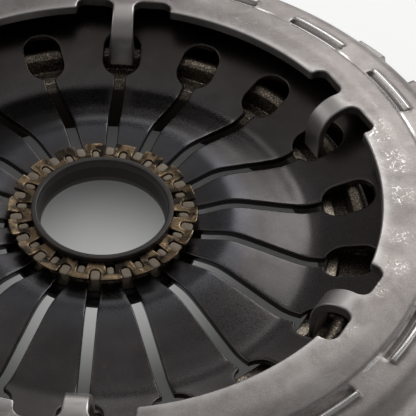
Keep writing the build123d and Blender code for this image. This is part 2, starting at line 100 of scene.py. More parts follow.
def soften(points, radius, n=4):
    """A closed polygon with its corners rounded. radius is one value, or one for each corner."""
    out, m = [], len(points)
    for i, p in enumerate(points):
        r = radius[i] if hasattr(radius, "__len__") else radius
        p = np.array(p, float)
        a, b = np.subtract(points[i - 1], p), np.subtract(points[(i + 1) % m], p)
        la, lb = np.linalg.norm(a), np.linalg.norm(b)
        a, b = a / la, b / lb
        turn = acos(max(-1.0, min(1.0, float(a @ b))))
        if r <= 0 or turn > pi - 0.02:
            out += [tuple(p)] * (1 if r <= 0 else n + 1)
            continue
        t = min(r / tan(turn / 2), 0.48 * la, 0.48 * lb)
        r = t * tan(turn / 2)
        middle = (a + b) / np.linalg.norm(a + b)
        c = p + middle * (r / sin(turn / 2))
        s, e = p + a * t - c, p + b * t - c
        a0 = atan2(s[1], s[0])
        d = (atan2(e[1], e[0]) - a0 + pi) % (2 * pi) - pi
        out += [(c[0] + r * cos(a0 + d * k / n), c[1] + r * sin(a0 + d * k / n)) for k in range(n + 1)]
    return out


def turned(profile, angles):
    """Closed ring: profile is a closed list of (r, z), or a function of the angle that gives one."""
    angles = np.asarray(angles, float)
    rows = [np.array(profile(a) if callable(profile) else profile, float) for a in angles]
    n, m = len(rows[0]), len(angles)
    verts = [polar(r, a, z) for a, row in zip(angles, rows) for r, z in row]
    faces = [f for j in range(m) for f in strip(j * n, (j + 1) % m * n, n)]
    return verts, faces


def inside(points, loops):
    """Even-odd test of 2D points against closed loops."""
    points = np.asarray(points, float).reshape(-1, 2)
    hit = np.zeros(len(points), bool)
    for loop in loops:
        a = np.asarray(loop, float)
        b = np.roll(a, -1, axis=0)
        for (x0, y0), (x1, y1) in zip(a, b):
            if y0 == y1:
                continue
            between = (points[:, 1] > min(y0, y1)) & (points[:, 1] <= max(y0, y1))
            x = x0 + (points[:, 1] - y0) * (x1 - x0) / (y1 - y0)
            hit ^= between & (points[:, 0] < x)
    return hit


def edge_rows(bevel, n=3):
    """(set in, drop) of each row round a rounded sheet edge, from the side wall to the face."""
    return [(bevel * (1 - cos(t)), bevel * (1 - sin(t))) for t in np.linspace(0, pi / 2, n + 1)]


def inward(loop):
    """Unit normals of a counter-clockwise closed loop, pointing into it."""
    a = np.asarray(loop, float)
    d = np.roll(a, -1, axis=0) - np.roll(a, 1, axis=0)
    d /= np.maximum(np.linalg.norm(d, axis=1, keepdims=True), 1e-9)
    return np.stack([-d[:, 1], d[:, 0]], axis=1)


def fill(loops, extra=()):
    """Triangles of the region between closed loops, over the loops' points and the extra points."""
    flat, edges = [], []
    for loop in loops:
        k, m = len(flat), len(loop)
        flat += [tuple(p) for p in loop]
        edges += [(k + i, k + (i + 1) % m) for i in range(m)]
    flat += [tuple(p) for p in extra]
    got = delaunay_2d_cdt([Vector(p) for p in flat], edges, [], 0, 1e-7)
    back = [orig[0] if orig else None for orig in got[3]]
    spots = np.array([v[:] for v in got[0]])
    faces = got[2]
    mid = np.array([spots[list(f)].mean(axis=0) for f in faces])
    keep = inside(mid, loops)
    return [tuple(back[i] for i in f) for f, k in zip(faces, keep)
            if k and all(back[i] is not None for i in f)]


def sheet(loop, top, bottom, bevel, round_at=None, normals=None, extra=(), n=3):
    """Closed plate with rounded edges. loop is counter-clockwise; top and bottom give Z at x, y."""
    loop = np.asarray(loop, float)
    round_at = np.ones(len(loop)) if round_at is None else np.asarray(round_at, float)
    normals = inward(loop) if normals is None else normals
    verts, faces, m = [], [], len(loop)
    rows = []
    for face, sign in ((bottom, 1), (top, -1)):
        steps = edge_rows(bevel, n)
        for d, e in (steps[::-1] if sign > 0 else steps):
            at = loop + normals * (d * round_at)[:, None]
            rows.append((at, [face(x, y) + sign * e * w for (x, y), w in zip(at, round_at)]))
    for at, zs in rows:
        verts += [(x, y, z) for (x, y), z in zip(at, zs)]
    for k in range(len(rows) - 1):
        faces += strip(k * m, (k + 1) * m, m)
    last = len(verts) - m
    inner = rows[-1][0]
    cover = fill([inner], extra)
    k = len(verts)
    verts += [(x, y, top(x, y)) for x, y in extra]
    verts += [(x, y, bottom(x, y)) for x, y in extra]
    for f in cover:
        faces.append(tuple(last + i if i < m else k + i - m for i in f))
        faces.append(tuple(i if i < m else k + len(extra) + i - m for i in reversed(f)))
    return verts, faces


def joined(*shapes):
    """Several shapes as one, with their faces renumbered."""
    verts, faces = [], []
    for v, f in shapes:
        faces += [tuple(i + len(verts) for i in face) for face in f]
        verts += list(v)
    return verts, faces


def spun(shape, angle):
    """The shape turned about the axis."""
    c, s = cos(radians(angle)), sin(radians(angle))
    return [(x * c - y * s, x * s + y * c, z) for x, y, z in shape[0]], shape[1]


# -------------------------------------------------- pieces
def clean(obj, weld=2e-7, sharp=40):
    """Merges doubles, turns faces outwards and shades smooth."""
    bm = bmesh.new()
    bm.from_mesh(obj.data)
    bmesh.ops.remove_doubles(bm, verts=bm.verts, dist=weld)
    bmesh.ops.dissolve_degenerate(bm, edges=bm.edges, dist=weld)
    loose = [v for v in bm.verts if not v.link_faces]
    bmesh.ops.delete(bm, geom=loose, context="VERTS")
    bmesh.ops.recalc_face_normals(bm, faces=bm.faces)
    bm.to_mesh(obj.data)
    bm.free()
    obj.data.shade_smooth()
    obj.data.set_sharp_from_angle(angle=radians(sharp))


def mark_wear(mesh):
    """Stores edge_wear (convex edges) and hollow (concave corners) on the points, for the finishes."""
    full = 26                   # an edge that turns this many degrees counts as fully worn
    bm = bmesh.new()
    bm.from_mesh(mesh)
    worn, hollow = np.zeros(len(bm.verts)), np.zeros(len(bm.verts))
    for e in bm.edges:
        if len(e.link_faces) == 2:
            a = degrees(e.calc_face_angle_signed(0.0))
            for v in e.verts:
                if a > 0:
                    worn[v.index] = max(worn[v.index], min(a / full, 1))
                else:
                    hollow[v.index] = max(hollow[v.index], min(-a / full, 1))
    bm.free()
    for name, value in (("edge_wear", worn), ("hollow", hollow)):
        layer = mesh.attributes.get(name) or mesh.attributes.new(name, "FLOAT", "POINT")
        layer.data.foreach_set("value", value.astype(np.float32))


def settle(obj):
    """Turns an object with its modifiers into a plain mesh."""
    bpy.context.view_layer.update()
    got = bpy.data.meshes.new_from_object(obj.evaluated_get(bpy.context.evaluated_depsgraph_get()))
    obj.modifiers.clear()
    obj.data = got
    return obj


def make(name, shape, material, sharp=40, weld=2e-7):
    """A finished piece from points in millimetres and faces."""
    mesh = bpy.data.meshes.new(name)
    points = [(x * MM, y * MM, z * MM) for x, y, z in shape[0]]
    mesh.from_pydata(points, [], [list(dict.fromkeys(f)) for f in shape[1] if len(set(f)) > 2])
    obj = bpy.data.objects.new(name, mesh)
    bpy.context.scene.collection.objects.link(obj)
    obj.data.materials.append(material)
    clean(obj, weld, sharp)
    flat = obj.modifiers.new("even normals", "WEIGHTED_NORMAL")
    flat.keep_sharp = True
    flat.weight = 100
    settle(obj)
    mark_wear(obj.data)
    return obj


def dress(obj, nodes=()):
    """Hides the solids that the piece stands in for."""
    if nodes:
        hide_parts(*nodes)
    return obj


def copies_tree():
    """Geometry Nodes: a source piece repeated about the Z axis, welded where copies meet."""
    tree = bpy.data.node_groups.new("turned_copies", "GeometryNodeTree")
    for name, kind in (("Source", "NodeSocketObject"), ("Count", "NodeSocketInt"),
                       ("First angle", "NodeSocketFloat"), ("Weld distance", "NodeSocketFloat"),
                       ("Finish", "NodeSocketMaterial")):
        tree.interface.new_socket(name, in_out="INPUT", socket_type=kind)
    tree.interface.new_socket("Geometry", in_out="OUTPUT", socket_type="NodeSocketGeometry")
    node, link = tree.nodes.new, tree.links.new
    given, out = node("NodeGroupInput"), node("NodeGroupOutput")
    line, index, turn = node("GeometryNodeMeshLine"), node("GeometryNodeInputIndex"), node("ShaderNodeMath")
    step, total, angle = node("ShaderNodeMath"), node("ShaderNodeMath"), node("ShaderNodeCombineXYZ")
    info, place = node("GeometryNodeObjectInfo"), node("GeometryNodeInstanceOnPoints")
    real, merge = node("GeometryNodeRealizeInstances"), node("GeometryNodeMergeByDistance")
    paint = node("GeometryNodeSetMaterial")
    line.mode = "OFFSET"
    line.inputs["Offset"].default_value = (0, 0, 0)
    link(given.outputs["Count"], line.inputs["Count"])
    turn.operation, step.operation, total.operation = "DIVIDE", "MULTIPLY", "ADD"
    turn.inputs[0].default_value = 2 * pi
    link(given.outputs["Count"], turn.inputs[1])
    link(turn.outputs[0], step.inputs[0])
    link(index.outputs[0], step.inputs[1])
    link(step.outputs[0], total.inputs[0])
    link(given.outputs["First angle"], total.inputs[1])
    link(total.outputs[0], angle.inputs["Z"])
    link(given.outputs["Source"], info.inputs["Object"])
    link(line.outputs["Mesh"], place.inputs["Points"])
    link(info.outputs["Geometry"], place.inputs["Instance"])
    link(angle.outputs[0], place.inputs["Rotation"])
    link(place.outputs["Instances"], real.inputs[0])
    link(real.outputs[0], merge.inputs["Geometry"])
    link(given.outputs["Weld distance"], merge.inputs["Distance"])
    link(merge.outputs[0], paint.inputs["Geometry"])
    link(given.outputs["Finish"], paint.inputs["Material"])
    link(paint.outputs[0], out.inputs[0])
    return tree


COPIES = copies_tree()


def ring_of(name, source, count, first, material, weld=1e-6):
    """count copies of source about the axis, the first turned by first degrees; source is used up."""
    obj = bpy.data.objects.new(name, bpy.data.meshes.new(name))
    bpy.context.scene.collection.objects.link(obj)
    mod = obj.modifiers.new("copies", "NODES")
    mod.node_group = COPIES
    key = {i.name: i.identifier for i in COPIES.interface.items_tree if i.in_out == "INPUT"}
    mod[key["Source"]], mod[key["Count"]], mod[key["First angle"]] = source, count, radians(first)
    mod[key["Weld distance"]], mod[key["Finish"]] = weld, material
    settle(obj)
    bpy.data.objects.remove(source)
    mark_wear(obj.data)
    return obj


# -------------------------------------------------- finishes
def group(name, ins, outs):
    """An empty node group; an input given as None is a vector."""
    tree = bpy.data.node_groups.new(name, "ShaderNodeTree")
    for label, value in ins.items():
        kind = "NodeSocketVector" if value is None else "NodeSocketFloat"
        item = tree.interface.new_socket(label, in_out="INPUT", socket_type=kind)
        if value is not None:
            item.default_value = value
    for label, kind in outs.items():
        tree.interface.new_socket(label, in_out="OUTPUT", socket_type=kind)
    return tree, tree.nodes.new("NodeGroupInput"), tree.nodes.new("NodeGroupOutput")


def maths(tree, operation, a, b=None, clamp=False):
    """One Math node; a and b are sockets or numbers."""
    node = tree.nodes.new("ShaderNodeMath")
    node.operation, node.use_clamp = operation, clamp
    for i, v in enumerate((a, b)):
        if v is None:
            continue
        if isinstance(v, (int, float)):
            node.inputs[i].default_value = v
        else:
            tree.links.new(v, node.inputs[i])
    return node.outputs[0]


def noise(tree, vector, scale, detail=3, rough=0.55, warp=0.0):
    node = tree.nodes.new("ShaderNodeTexNoise")
    node.inputs["Scale"].default_value = scale
    node.inputs["Detail"].default_value = detail
    node.inputs["Roughness"].default_value = rough
    node.inputs["Distortion"].default_value = warp
    tree.links.new(vector, node.inputs["Vector"])
    return node.outputs["Fac"]


def window(tree, value, low, high, to_low=0.0, to_high=1.0):
    """Eases from to_low at low to to_high at high."""
    node = tree.nodes.new("ShaderNodeMapRange")
    node.interpolation_type = "SMOOTHSTEP"
    for key, v in (("From Min", low), ("From Max", high), ("To Min", to_low), ("To Max", to_high)):
        node.inputs[key].default_value = v
    tree.links.new(value, node.inputs["Value"])
    return node.outputs["Result"]


def stored(tree, name):
    """A value kept on the mesh's points."""
    node = tree.nodes.new("ShaderNodeAttribute")
    node.attribute_name = name
    return node.outputs["Fac"]


def build_metal_marks():
    """Blotches, fine grain, hairline scratches and small scuffs for any worked metal."""
    tree, given, out = group("metal_marks", {"Vector": None, "Scratch amount": 0.5},
                             {k: "NodeSocketFloat" for k in ("Blotch", "Grain", "Scratch", "Scuff")})
    v = given.outputs["Vector"]
    lines = None
    for i, (turn, stretch, scale) in enumerate(((0.4, 26, 34), (1.5, 30, 28), (2.6, 22, 40))):
        spin = tree.nodes.new("ShaderNodeMapping")
        spin.inputs["Rotation"].default_value = (0, 0, turn)
        spin.inputs["Location"].default_value = (i * 3.1, i * 1.7, 0)
        bend = tree.nodes.new("ShaderNodeMapping")
        bend.inputs["Scale"].default_value = (1, stretch, 1)
        tree.links.new(v, spin.inputs["Vector"])
        tree.links.new(spin.outputs[0], bend.inputs["Vector"])
        thin = window(tree, noise(tree, bend.outputs[0], scale, 2, 0.5, 0.4), 0.655, 0.71)
        patch = window(tree, noise(tree, spin.outputs[0], 11, 2), 0.45, 0.66)
        one = maths(tree, "MULTIPLY", thin, patch)
        lines = one if lines is None else maths(tree, "MAXIMUM", lines, one)
    tree.links.new(maths(tree, "MULTIPLY", lines, given.outputs["Scratch amount"]), out.inputs["Scratch"])
    tree.links.new(noise(tree, v, 16, 4, 0.6, 0.3), out.inputs["Blotch"])
    tree.links.new(noise(tree, v, 900, 3, 0.6), out.inputs["Grain"])
    scuff = maths(tree, "MULTIPLY", window(tree, noise(tree, v, 210, 4, 0.7, 1.2), 0.56, 0.7),
                  window(tree, noise(tree, v, 23, 3), 0.48, 0.66))
    tree.links.new(scuff, out.inputs["Scuff"])
    return tree


def build_edge_polish():
    """How far handling has polished a convex edge, and how much soil sits in a corner; on the cover the
    hollow attribute also carries painted shade in the pockets.
    """
    tree, given, out = group("edge_polish", {"Vector": None, "Polish": 0.7, "Soil and shade": 0.6},
                             {"Bright edge": "NodeSocketFloat", "Soiled and shaded corner": "NodeSocketFloat"})
    v = given.outputs["Vector"]
    broken = window(tree, noise(tree, v, 120, 3, 0.6), 0.3, 0.62)
    worn = maths(tree, "MULTIPLY", window(tree, stored(tree, "edge_wear"), 0.15, 0.75), broken)
    tree.links.new(maths(tree, "MULTIPLY", worn, given.outputs["Polish"], True), out.inputs["Bright edge"])
    patch = window(tree, noise(tree, v, 55, 3, 0.6), 0.3, 0.6)
    soil_and_shade = maths(tree, "MULTIPLY", window(tree, stored(tree, "hollow"), 0.05, 0.8), patch)
    tree.links.new(maths(tree, "MULTIPLY", soil_and_shade, given.outputs["Soil and shade"], True), out.inputs["Soiled and shaded corner"])
    return tree


def build_surface_relief():
    """One bump from a coarse and a fine height."""
    tree, given, out = group("surface_relief",
                             {"Coarse": 0.5, "Fine": 0.5, "Coarse depth": 0.2, "Fine depth": 0.1},
                             {"Normal": "NodeSocketVector"})
    last = None
    for height, depth, size in (("Coarse", "Coarse depth", 0.0006), ("Fine", "Fine depth", 0.0002)):
        bump = tree.nodes.new("ShaderNodeBump")
        bump.inputs["Distance"].default_value = size
        tree.links.new(given.outputs[height], bump.inputs["Height"])
        tree.links.new(given.outputs[depth], bump.inputs["Strength"])
        if last is not None:
            tree.links.new(last, bump.inputs["Normal"])
        last = bump.outputs[0]
    tree.links.new(last, out.inputs["Normal"])
    return tree


MARKS, EDGES, RELIEF = build_metal_marks(), build_edge_polish(), build_surface_relief()


def mix(tree, fac, a, b):
    """Colour a turning into b; each is a socket or a plain colour."""
    node = tree.nodes.new("ShaderNodeMix")
    node.data_type = "RGBA"
    if isinstance(fac, (int, float)):
        node.inputs[0].default_value = fac
    else:
        tree.links.new(fac, node.inputs[0])
    for i, v in ((6, a), (7, b)):
        if hasattr(v, "__len__"):
            node.inputs[i].default_value = (*v, 1)
        else:
            tree.links.new(v, node.inputs[i])
    return node.outputs[2]


def tint(tree, colour, mask, amount, other):
    """The colour turned towards another where the mask is 1, by no more than the amount."""
    return mix(tree, maths(tree, "MULTIPLY", mask, amount), colour, other)


def finish(name, dark, light, metallic=1.0, rough=(0.3, 0.45), edge=(0.6, 0.58, 0.55),
           soil_and_shade=(0.03, 0.024, 0.02), polish=0.6, soil_and_shade_amount=0.5, scratch=0.5, coarse=0.1, fine=0.1, specular=0.5,
           extra=None, aniso=0.0, smooth=False):
    """A worked metal: two tones in blotches, polished edges, dirty corners, scratches and grain; on the cover
    the darkened corners also carry painted shade.

    extra adds a piece's own marks and painted light, and smooth takes the fine grain away where the piece is
    rubbed."""
    mat = bpy.data.materials.new(name)
    mat.use_nodes = True
    tree = mat.node_tree
    shader = tree.nodes["Principled BSDF"]
    where = tree.nodes.new("ShaderNodeTexCoord").outputs["Object"]
    marks, edges, relief = (tree.nodes.new("ShaderNodeGroup") for _ in range(3))
    marks.node_tree, edges.node_tree, relief.node_tree = MARKS, EDGES, RELIEF
    tree.links.new(where, marks.inputs["Vector"])
    tree.links.new(where, edges.inputs["Vector"])
    marks.inputs["Scratch amount"].default_value = scratch
    edges.inputs["Polish"].default_value, edges.inputs["Soil and shade"].default_value = polish, soil_and_shade_amount
    blotch, grain = marks.outputs["Blotch"], marks.outputs["Grain"]
    patches, specks = window(tree, blotch, 0.3, 0.7, 0.0, 0.75), window(tree, grain, 0.3, 0.7, 0.0, 0.25)
    colour = mix(tree, maths(tree, "ADD", patches, specks), dark, light)
    colour = tint(tree, colour, marks.outputs["Scuff"], 0.5, edge)
    colour = mix(tree, marks.outputs["Scratch"], colour, edge)
    # on the cover this also lays down painted shade in the pockets
    colour = mix(tree, edges.outputs["Soiled and shaded corner"], colour, soil_and_shade)
    colour = mix(tree, edges.outputs["Bright edge"], colour, edge)
    level = window(tree, blotch, 0.3, 0.7, rough[1], rough[0])
    level = maths(tree, "ADD", level, window(tree, grain, 0.3, 0.7, -0.04, 0.04))
    level = maths(tree, "SUBTRACT", level, maths(tree, "MULTIPLY", edges.outputs["Bright edge"], 0.12), True)
    if extra:
        colour, level = extra(tree, where, colour, level)
    tree.links.new(colour, shader.inputs["Base Color"])
    tree.links.new(level, shader.inputs["Roughness"])
    tree.links.new(blotch, relief.inputs["Coarse"])
    tree.links.new(grain, relief.inputs["Fine"])
    relief.inputs["Coarse depth"].default_value, relief.inputs["Fine depth"].default_value = coarse, fine
    if smooth:
        left = window(tree, stored(tree, "polish"), 0.0, 0.25, fine, 0.0)
        tree.links.new(left, relief.inputs["Fine depth"])
    tree.links.new(relief.outputs["Normal"], shader.inputs["Normal"])
    shader.inputs["Metallic"].default_value = metallic
    shader.inputs["Specular IOR Level"].default_value = specular
    shader.inputs["Anisotropic"].default_value = aniso
    return mat


def radius_of(tree, where):
    """Distance from the axis, in metres."""
    flat = tree.nodes.new("ShaderNodeVectorMath")
    flat.operation = "MULTIPLY"
    flat.inputs[1].default_value = (1, 1, 0)
    tree.links.new(where, flat.inputs[0])
    size = tree.nodes.new("ShaderNodeVectorMath")
    size.operation = "LENGTH"
    tree.links.new(flat.outputs[0], size.inputs[0])
    return size.outputs["Value"]


def near(tree, where, x, y, size):
    """1 at a place on the land, in millimetres, fading out over size."""
    away = tree.nodes.new("ShaderNodeVectorMath")
    away.operation = "DISTANCE"
    tree.links.new(where, away.inputs[0])
    away.inputs[1].default_value = (x * MM, y * MM, H_TOP * MM)
    return window(tree, away.outputs["Value"], size * MM, size * MM * 0.35)


# scuffed places of the land: x, y and how far each reaches
SCUFFED = [(146, 50, 15), (155, 27, 13), (157, 2, 12), (155, -28, 9), (151, -49, 10), (141, -65, 9),
           (128, -92, 6)]


def cover_marks_and_painted_light(tree, where, colour, level):
    """Painted highlights on the creases and lips of pockets, which are also made smoother; painted light on
    the hooks; flaked and scuffed places on the land; fine peel.
    """
    peel = noise(tree, where, 1500, 2, 0.7)
    colour = tint(tree, colour, window(tree, peel, 0.45, 0.8), 0.6, (0.5, 0.465, 0.445))
    colour = tint(tree, colour, window(tree, peel, 0.42, 0.25), 0.4, (0.18, 0.16, 0.15))
    cloud = noise(tree, where, 60, 4, 0.65, 0.8)
    colour = tint(tree, colour, window(tree, cloud, 0.5, 0.7), 0.35, (0.47, 0.44, 0.42))
    colour = tint(tree, colour, window(tree, cloud, 0.5, 0.3), 0.4, (0.2, 0.175, 0.165))
    rubbed = None
    for place in SCUFFED:
        one = near(tree, where, *place)
        rubbed = one if rubbed is None else maths(tree, "MAXIMUM", rubbed, one)
    flake = maths(tree, "MULTIPLY", window(tree, noise(tree, where, 250, 5, 0.68, 2.6), 0.575, 0.63), rubbed)
    pit = maths(tree, "MULTIPLY", window(tree, noise(tree, where, 560, 3, 0.6, 1.5), 0.6, 0.68), rubbed)
    colour = tint(tree, colour, rubbed, 0.35, (0.5, 0.46, 0.43))
    colour = tint(tree, colour, pit, 0.6, (0.12, 0.1, 0.09))
    colour = mix(tree, flake, colour, (0.95, 0.92, 0.9))
    # painted light: the hooks, inside r 146.5 mm, are lightened, fading out by 152.5 mm
    painted_light_on_hooks = window(tree, radius_of(tree, where), 0.1525, 0.1465)
    colour = tint(tree, colour, painted_light_on_hooks, 0.6, (0.72, 0.69, 0.67))
    # painted highlight: where the polish attribute is high the colour turns near white; the roughness also
    # drops to 0.17, a real polish
    polish = stored(tree, "polish")
    colour = mix(tree, polish, colour, (0.86, 0.83, 0.81))
    level = maths(tree, "SUBTRACT", level, maths(tree, "MULTIPLY", flake, 0.05), True)
    even = tree.nodes.new("ShaderNodeMix")
    even.inputs[3].default_value = 0.17
    tree.links.new(polish, even.inputs[0])
    tree.links.new(level, even.inputs[2])
    return colour, even.outputs[0]


def hump_sheen_and_brown_tint(tree, where, colour, level):
    """Painted bluish sheen on the spring at the hump, where it catches the light; browner and duller
    outwards.
    """
    r = radius_of(tree, where)
    # painted sheen: a bluish ring round the hump, from 52 to 88 mm out
    painted_blue_sheen = maths(tree, "MULTIPLY", window(tree, r, 0.052, 0.066), window(tree, r, 0.088, 0.070))
    colour = tint(tree, colour, painted_blue_sheen, 0.4, (0.085, 0.09, 0.108))
    return tint(tree, colour, window(tree, r, 0.112, 0.150), 0.5, (0.062, 0.05, 0.042)), level


def sand_cast_with_painted_shade(tree, where, colour, level):
    """Grainy cast skin with small bright grains, and painted shade that makes it dull and dark lower down, in
    the bore.
    """
    grit = noise(tree, where, 1100, 3, 0.7)
    colour = mix(tree, window(tree, grit, 0.53, 0.66), colour, (0.75, 0.66, 0.54))
    colour = mix(tree, window(tree, grit, 0.47, 0.36), colour, (0.02, 0.015, 0.012))
    # painted shade: darker below about 24 to 27.5 mm up
    part = tree.nodes.new("ShaderNodeSeparateXYZ")
    tree.links.new(where, part.inputs[0])
    return mix(tree, window(tree, part.outputs["Z"], 0.0275, 0.024), colour, (0.05, 0.042, 0.036)), level


def dark_patches_and_painted_glints(tree, where, colour, level):
    """Darkened patches over the bronze, and painted glints: bright gold spots."""
    patch = window(tree, noise(tree, where, 95, 3, 0.6, 0.6), 0.42, 0.62)
    colour = mix(tree, patch, colour, (0.035, 0.028, 0.022))
    # painted glints at random spots
    painted_glints = window(tree, noise(tree, where, 150, 2, 0.5), 0.62, 0.74)
    return tint(tree, colour, painted_glints, 0.8, (0.7, 0.5, 0.3)), level


COVER_STEEL = finish("cover_steel", (0.27, 0.243, 0.232), (0.36, 0.328, 0.312), rough=(0.36, 0.47),
                     edge=(0.62, 0.59, 0.57), soil_and_shade=(0.06, 0.05, 0.045), polish=0.55, soil_and_shade_amount=0.55,
                     scratch=0.25, coarse=0.1, fine=0.08, extra=cover_marks_and_painted_light, smooth=True)
SPRING_STEEL = finish("spring_steel", (0.05, 0.046, 0.045), (0.09, 0.084, 0.084), rough=(0.26, 0.35),
                      edge=(0.12, 0.104, 0.092), polish=0.35, scratch=0.15, coarse=0.06, fine=0.05,
                      extra=hump_sheen_and_brown_tint)
CAST_IRON = finish("cast_iron", (0.10, 0.08, 0.062), (0.26, 0.215, 0.17), rough=(0.38, 0.55),
                   edge=(0.5, 0.44, 0.36), polish=0.6, scratch=0.05, coarse=0.8, fine=0.9,
                   extra=sand_cast_with_painted_shade)
THRUST_STEEL = finish("thrust_steel", (0.055, 0.05, 0.047), (0.075, 0.069, 0.065), metallic=0.6,
                      rough=(0.42, 0.5), edge=(0.1, 0.092, 0.086), polish=0.4, scratch=0.1, coarse=0.04,
                      fine=0.05)
SEAT_BLACK = finish("seat_black", (0.006, 0.006, 0.006), (0.014, 0.014, 0.014), metallic=0.0,
                    rough=(0.4, 0.55), edge=(0.04, 0.04, 0.04), polish=0.3, scratch=0.05, coarse=0.1,
                    fine=0.15, specular=0.35)
LUG_TAN = finish("lug_tan", (0.21, 0.165, 0.12), (0.42, 0.345, 0.26), metallic=0.0, rough=(0.6, 0.8),
                 edge=(0.4, 0.34, 0.26), polish=0.35, scratch=0.0, coarse=0.5, fine=0.8)
STAR_GOLD = finish("star_gold", (0.12, 0.085, 0.05), (0.34, 0.235, 0.14), rough=(0.2, 0.34),
                   edge=(0.6, 0.46, 0.3), polish=0.6, scratch=0.2, coarse=0.2, fine=0.1, extra=dark_patches_and_painted_glints)
LEAF_STEEL = finish("leaf_steel", (0.3, 0.29, 0.285), (0.42, 0.41, 0.4), rough=(0.25, 0.38),
                    edge=(0.7, 0.69, 0.68), scratch=0.4, coarse=0.05, fine=0.06, aniso=0.3)
RIVET_STEEL = finish("rivet_steel", (0.2, 0.185, 0.175), (0.32, 0.3, 0.285), rough=(0.3, 0.45),
                     edge=(0.6, 0.58, 0.55), scratch=0.3, coarse=0.15, fine=0.12)
SPACER_STEEL = finish("spacer_steel", (0.2, 0.19, 0.185), (0.3, 0.29, 0.28), rough=(0.32, 0.45),
                      edge=(0.5, 0.48, 0.46), scratch=0.3, coarse=0.1, fine=0.1)
WEIGHT_STEEL = finish("weight_steel", (0.34, 0.32, 0.3), (0.46, 0.44, 0.42), rough=(0.3, 0.42),
                      edge=(0.7, 0.68, 0.65), scratch=0.3, coarse=0.1, fine=0.1)

# -------------------------------------------------- diaphragm spring: fingers that meet at the rim
PROFILE = [(TIP_R, 40.9), (56.0, 42.4), (69.0, 45.0), (88.0, 41.6), (103.0, 37.9), (112.0, 36.4),
           (WIN_IN, WIN_Z)]


def through(points, last_slope):
    """A smooth height through (r, z) points, going on in a straight line past the last."""
    x, y = np.array(points).T
    slope = np.gradient(y, x)
    slope[-1] = last_slope

    def at(r):
        if r >= x[-1]:
            return float(y[-1] + last_slope * (r - x[-1]))
        i = int(np.clip(np.searchsorted(x, r) - 1, 0, len(x) - 2))
        h, t = x[i + 1] - x[i], (r - x[i]) / (x[i + 1] - x[i])
        return float(y[i] * (2 * t**3 - 3 * t**2 + 1) + y[i + 1] * (3 * t**2 - 2 * t**3)
                     + h * (slope[i] * (t**3 - 2 * t**2 + t) + slope[i + 1] * (t**3 - t**2)))
    return at


spring_height = through(PROFILE, CONE_SLOPE)


def dense(loop, step):
    """The closed loop with long edges cut to at most step."""
    out = []
    for a, b in zip(loop, list(loop[1:]) + [loop[0]]):
        n = max(1, int(ceil(hypot(b[0] - a[0], b[1] - a[1]) / step - 1e-6)))
        out += [(a[0] + (b[0] - a[0]) * k / n, a[1] + (b[1] - a[1]) * k / n) for k in range(n)]
    return out


def hexes(loop, keep, step, low, high):
    """Points of a triangular net inside the loop, at least keep from it."""
    xs, ys = np.arange(low[0], high[0], step), np.arange(low[1], high[1], step * 0.866)
    net = np.array([(x + (j % 2) * step / 2, y) for j, y in enumerate(ys) for x in xs])
    net = net[inside(net, [loop])]
    edge = np.array(dense(loop, 0.7))
    far = np.array([np.min((edge[:, 0] - x) ** 2 + (edge[:, 1] - y) ** 2) > keep * keep for x, y in net])
    return [tuple(p) for p in net[far]]


def finger():
    """One finger at angle 0, from tip to rim, with half a window and half a slot on each side.

    s runs along the middle of a slot and d across it. Where two fingers meet, past the windows, the edge
    isn't rounded, so that the rim reads as one plate."""
    turn = radians(FINGER_PITCH / 2)
    slot, across = np.array([cos(turn), sin(turn)]), np.array([sin(turn), -cos(turn)])
    half, c_s, c_d, corner = SLOT_W / 2, WIN_IN + WIN_CORNER, WIN_W / 2 - WIN_CORNER, WIN_CORNER
    first = asin((half - c_d) / corner)
    arc_in = [(c_s - corner * cos(t), c_d + corner * sin(t)) for t in np.linspace(first, pi / 2, 12)]
    c_out = WIN_OUT - corner
    arc_out = [(c_out + corner * sin(t), c_d + corner * cos(t)) for t in np.linspace(0, pi / 2, 14)]
    start = (sqrt(TIP_R ** 2 - half ** 2), half)
    flush = [(s, 0.0) for s in (151.5, 154, 157, 160, 164, 168, 172, 175, 177.5)]
    side = [start, *arc_in, *arc_out, (WIN_OUT, 0.0), *flush, (RIM_R, 0.0)]
    upper = [s * slot + d * across for s, d in side]
    lower = [np.array([x, -y]) for x, y in upper]
    rim = [spot(RIM_R, a) for a in np.linspace(-FINGER_PITCH / 2, FINGER_PITCH / 2, 13)[1:-1]]
    tip = [spot(TIP_R, a) for a in (4.2, 1.5, -1.5, -4.2)]
    loop = lower + rim + upper[::-1] + tip
    round_off = [0.0] * len(loop)
    last = len(lower) + len(rim) + len(upper) - 1
    round_off[0] = round_off[last] = 1.7            # the tip's two corners
    round_off[1] = round_off[last - 1] = 1.0        # where the slot opens into the window
    loop = dense(soften(loop, round_off, 5), 1.7)
    normal, keep = inward(loop), np.ones(len(loop))
    for i, (x, y) in enumerate(loop):
        up = np.array([x, abs(y)])
        s, d = float(up @ slot), float(up @ across)
        if abs(d) < 1e-6 and s > WIN_OUT - 0.1:
            out = slot if y > 0 else slot * (1, -1)
            if s < WIN_OUT + 0.1:
                normal[i] = out
            elif s > RIM_R - 0.1:
                normal[i] = -out
            else:
                keep[i] = 0
    net = hexes(loop, 1.9, 2.3, (TIP_R - 2, -32), (RIM_R + 2, 32))

    def top(x, y):
        return spring_height(hypot(x, y))

    return sheet(loop, top, lambda x, y: top(x, y) - SPRING_T, 0.9, keep, normal, net)


# one piece for each finger; on the real spring each finger bends from past the pockets to just outside the
# hub, so that it rises with the plate's ridge
one_finger = finger()
for k in range(FINGERS):
    middle = FINGER_AT + k * FINGER_PITCH
    piece = make(f"spring_finger_{k + 1:02d}", spun(one_finger, middle), SPRING_STEEL)
    dress(piece, ["diaphragm_spring"] if k == 0 else [])
    [v * MM for v in polar(182.4, middle, 58)]
    [v * MM for v in polar(60, middle, 41)]
    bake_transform(piece)

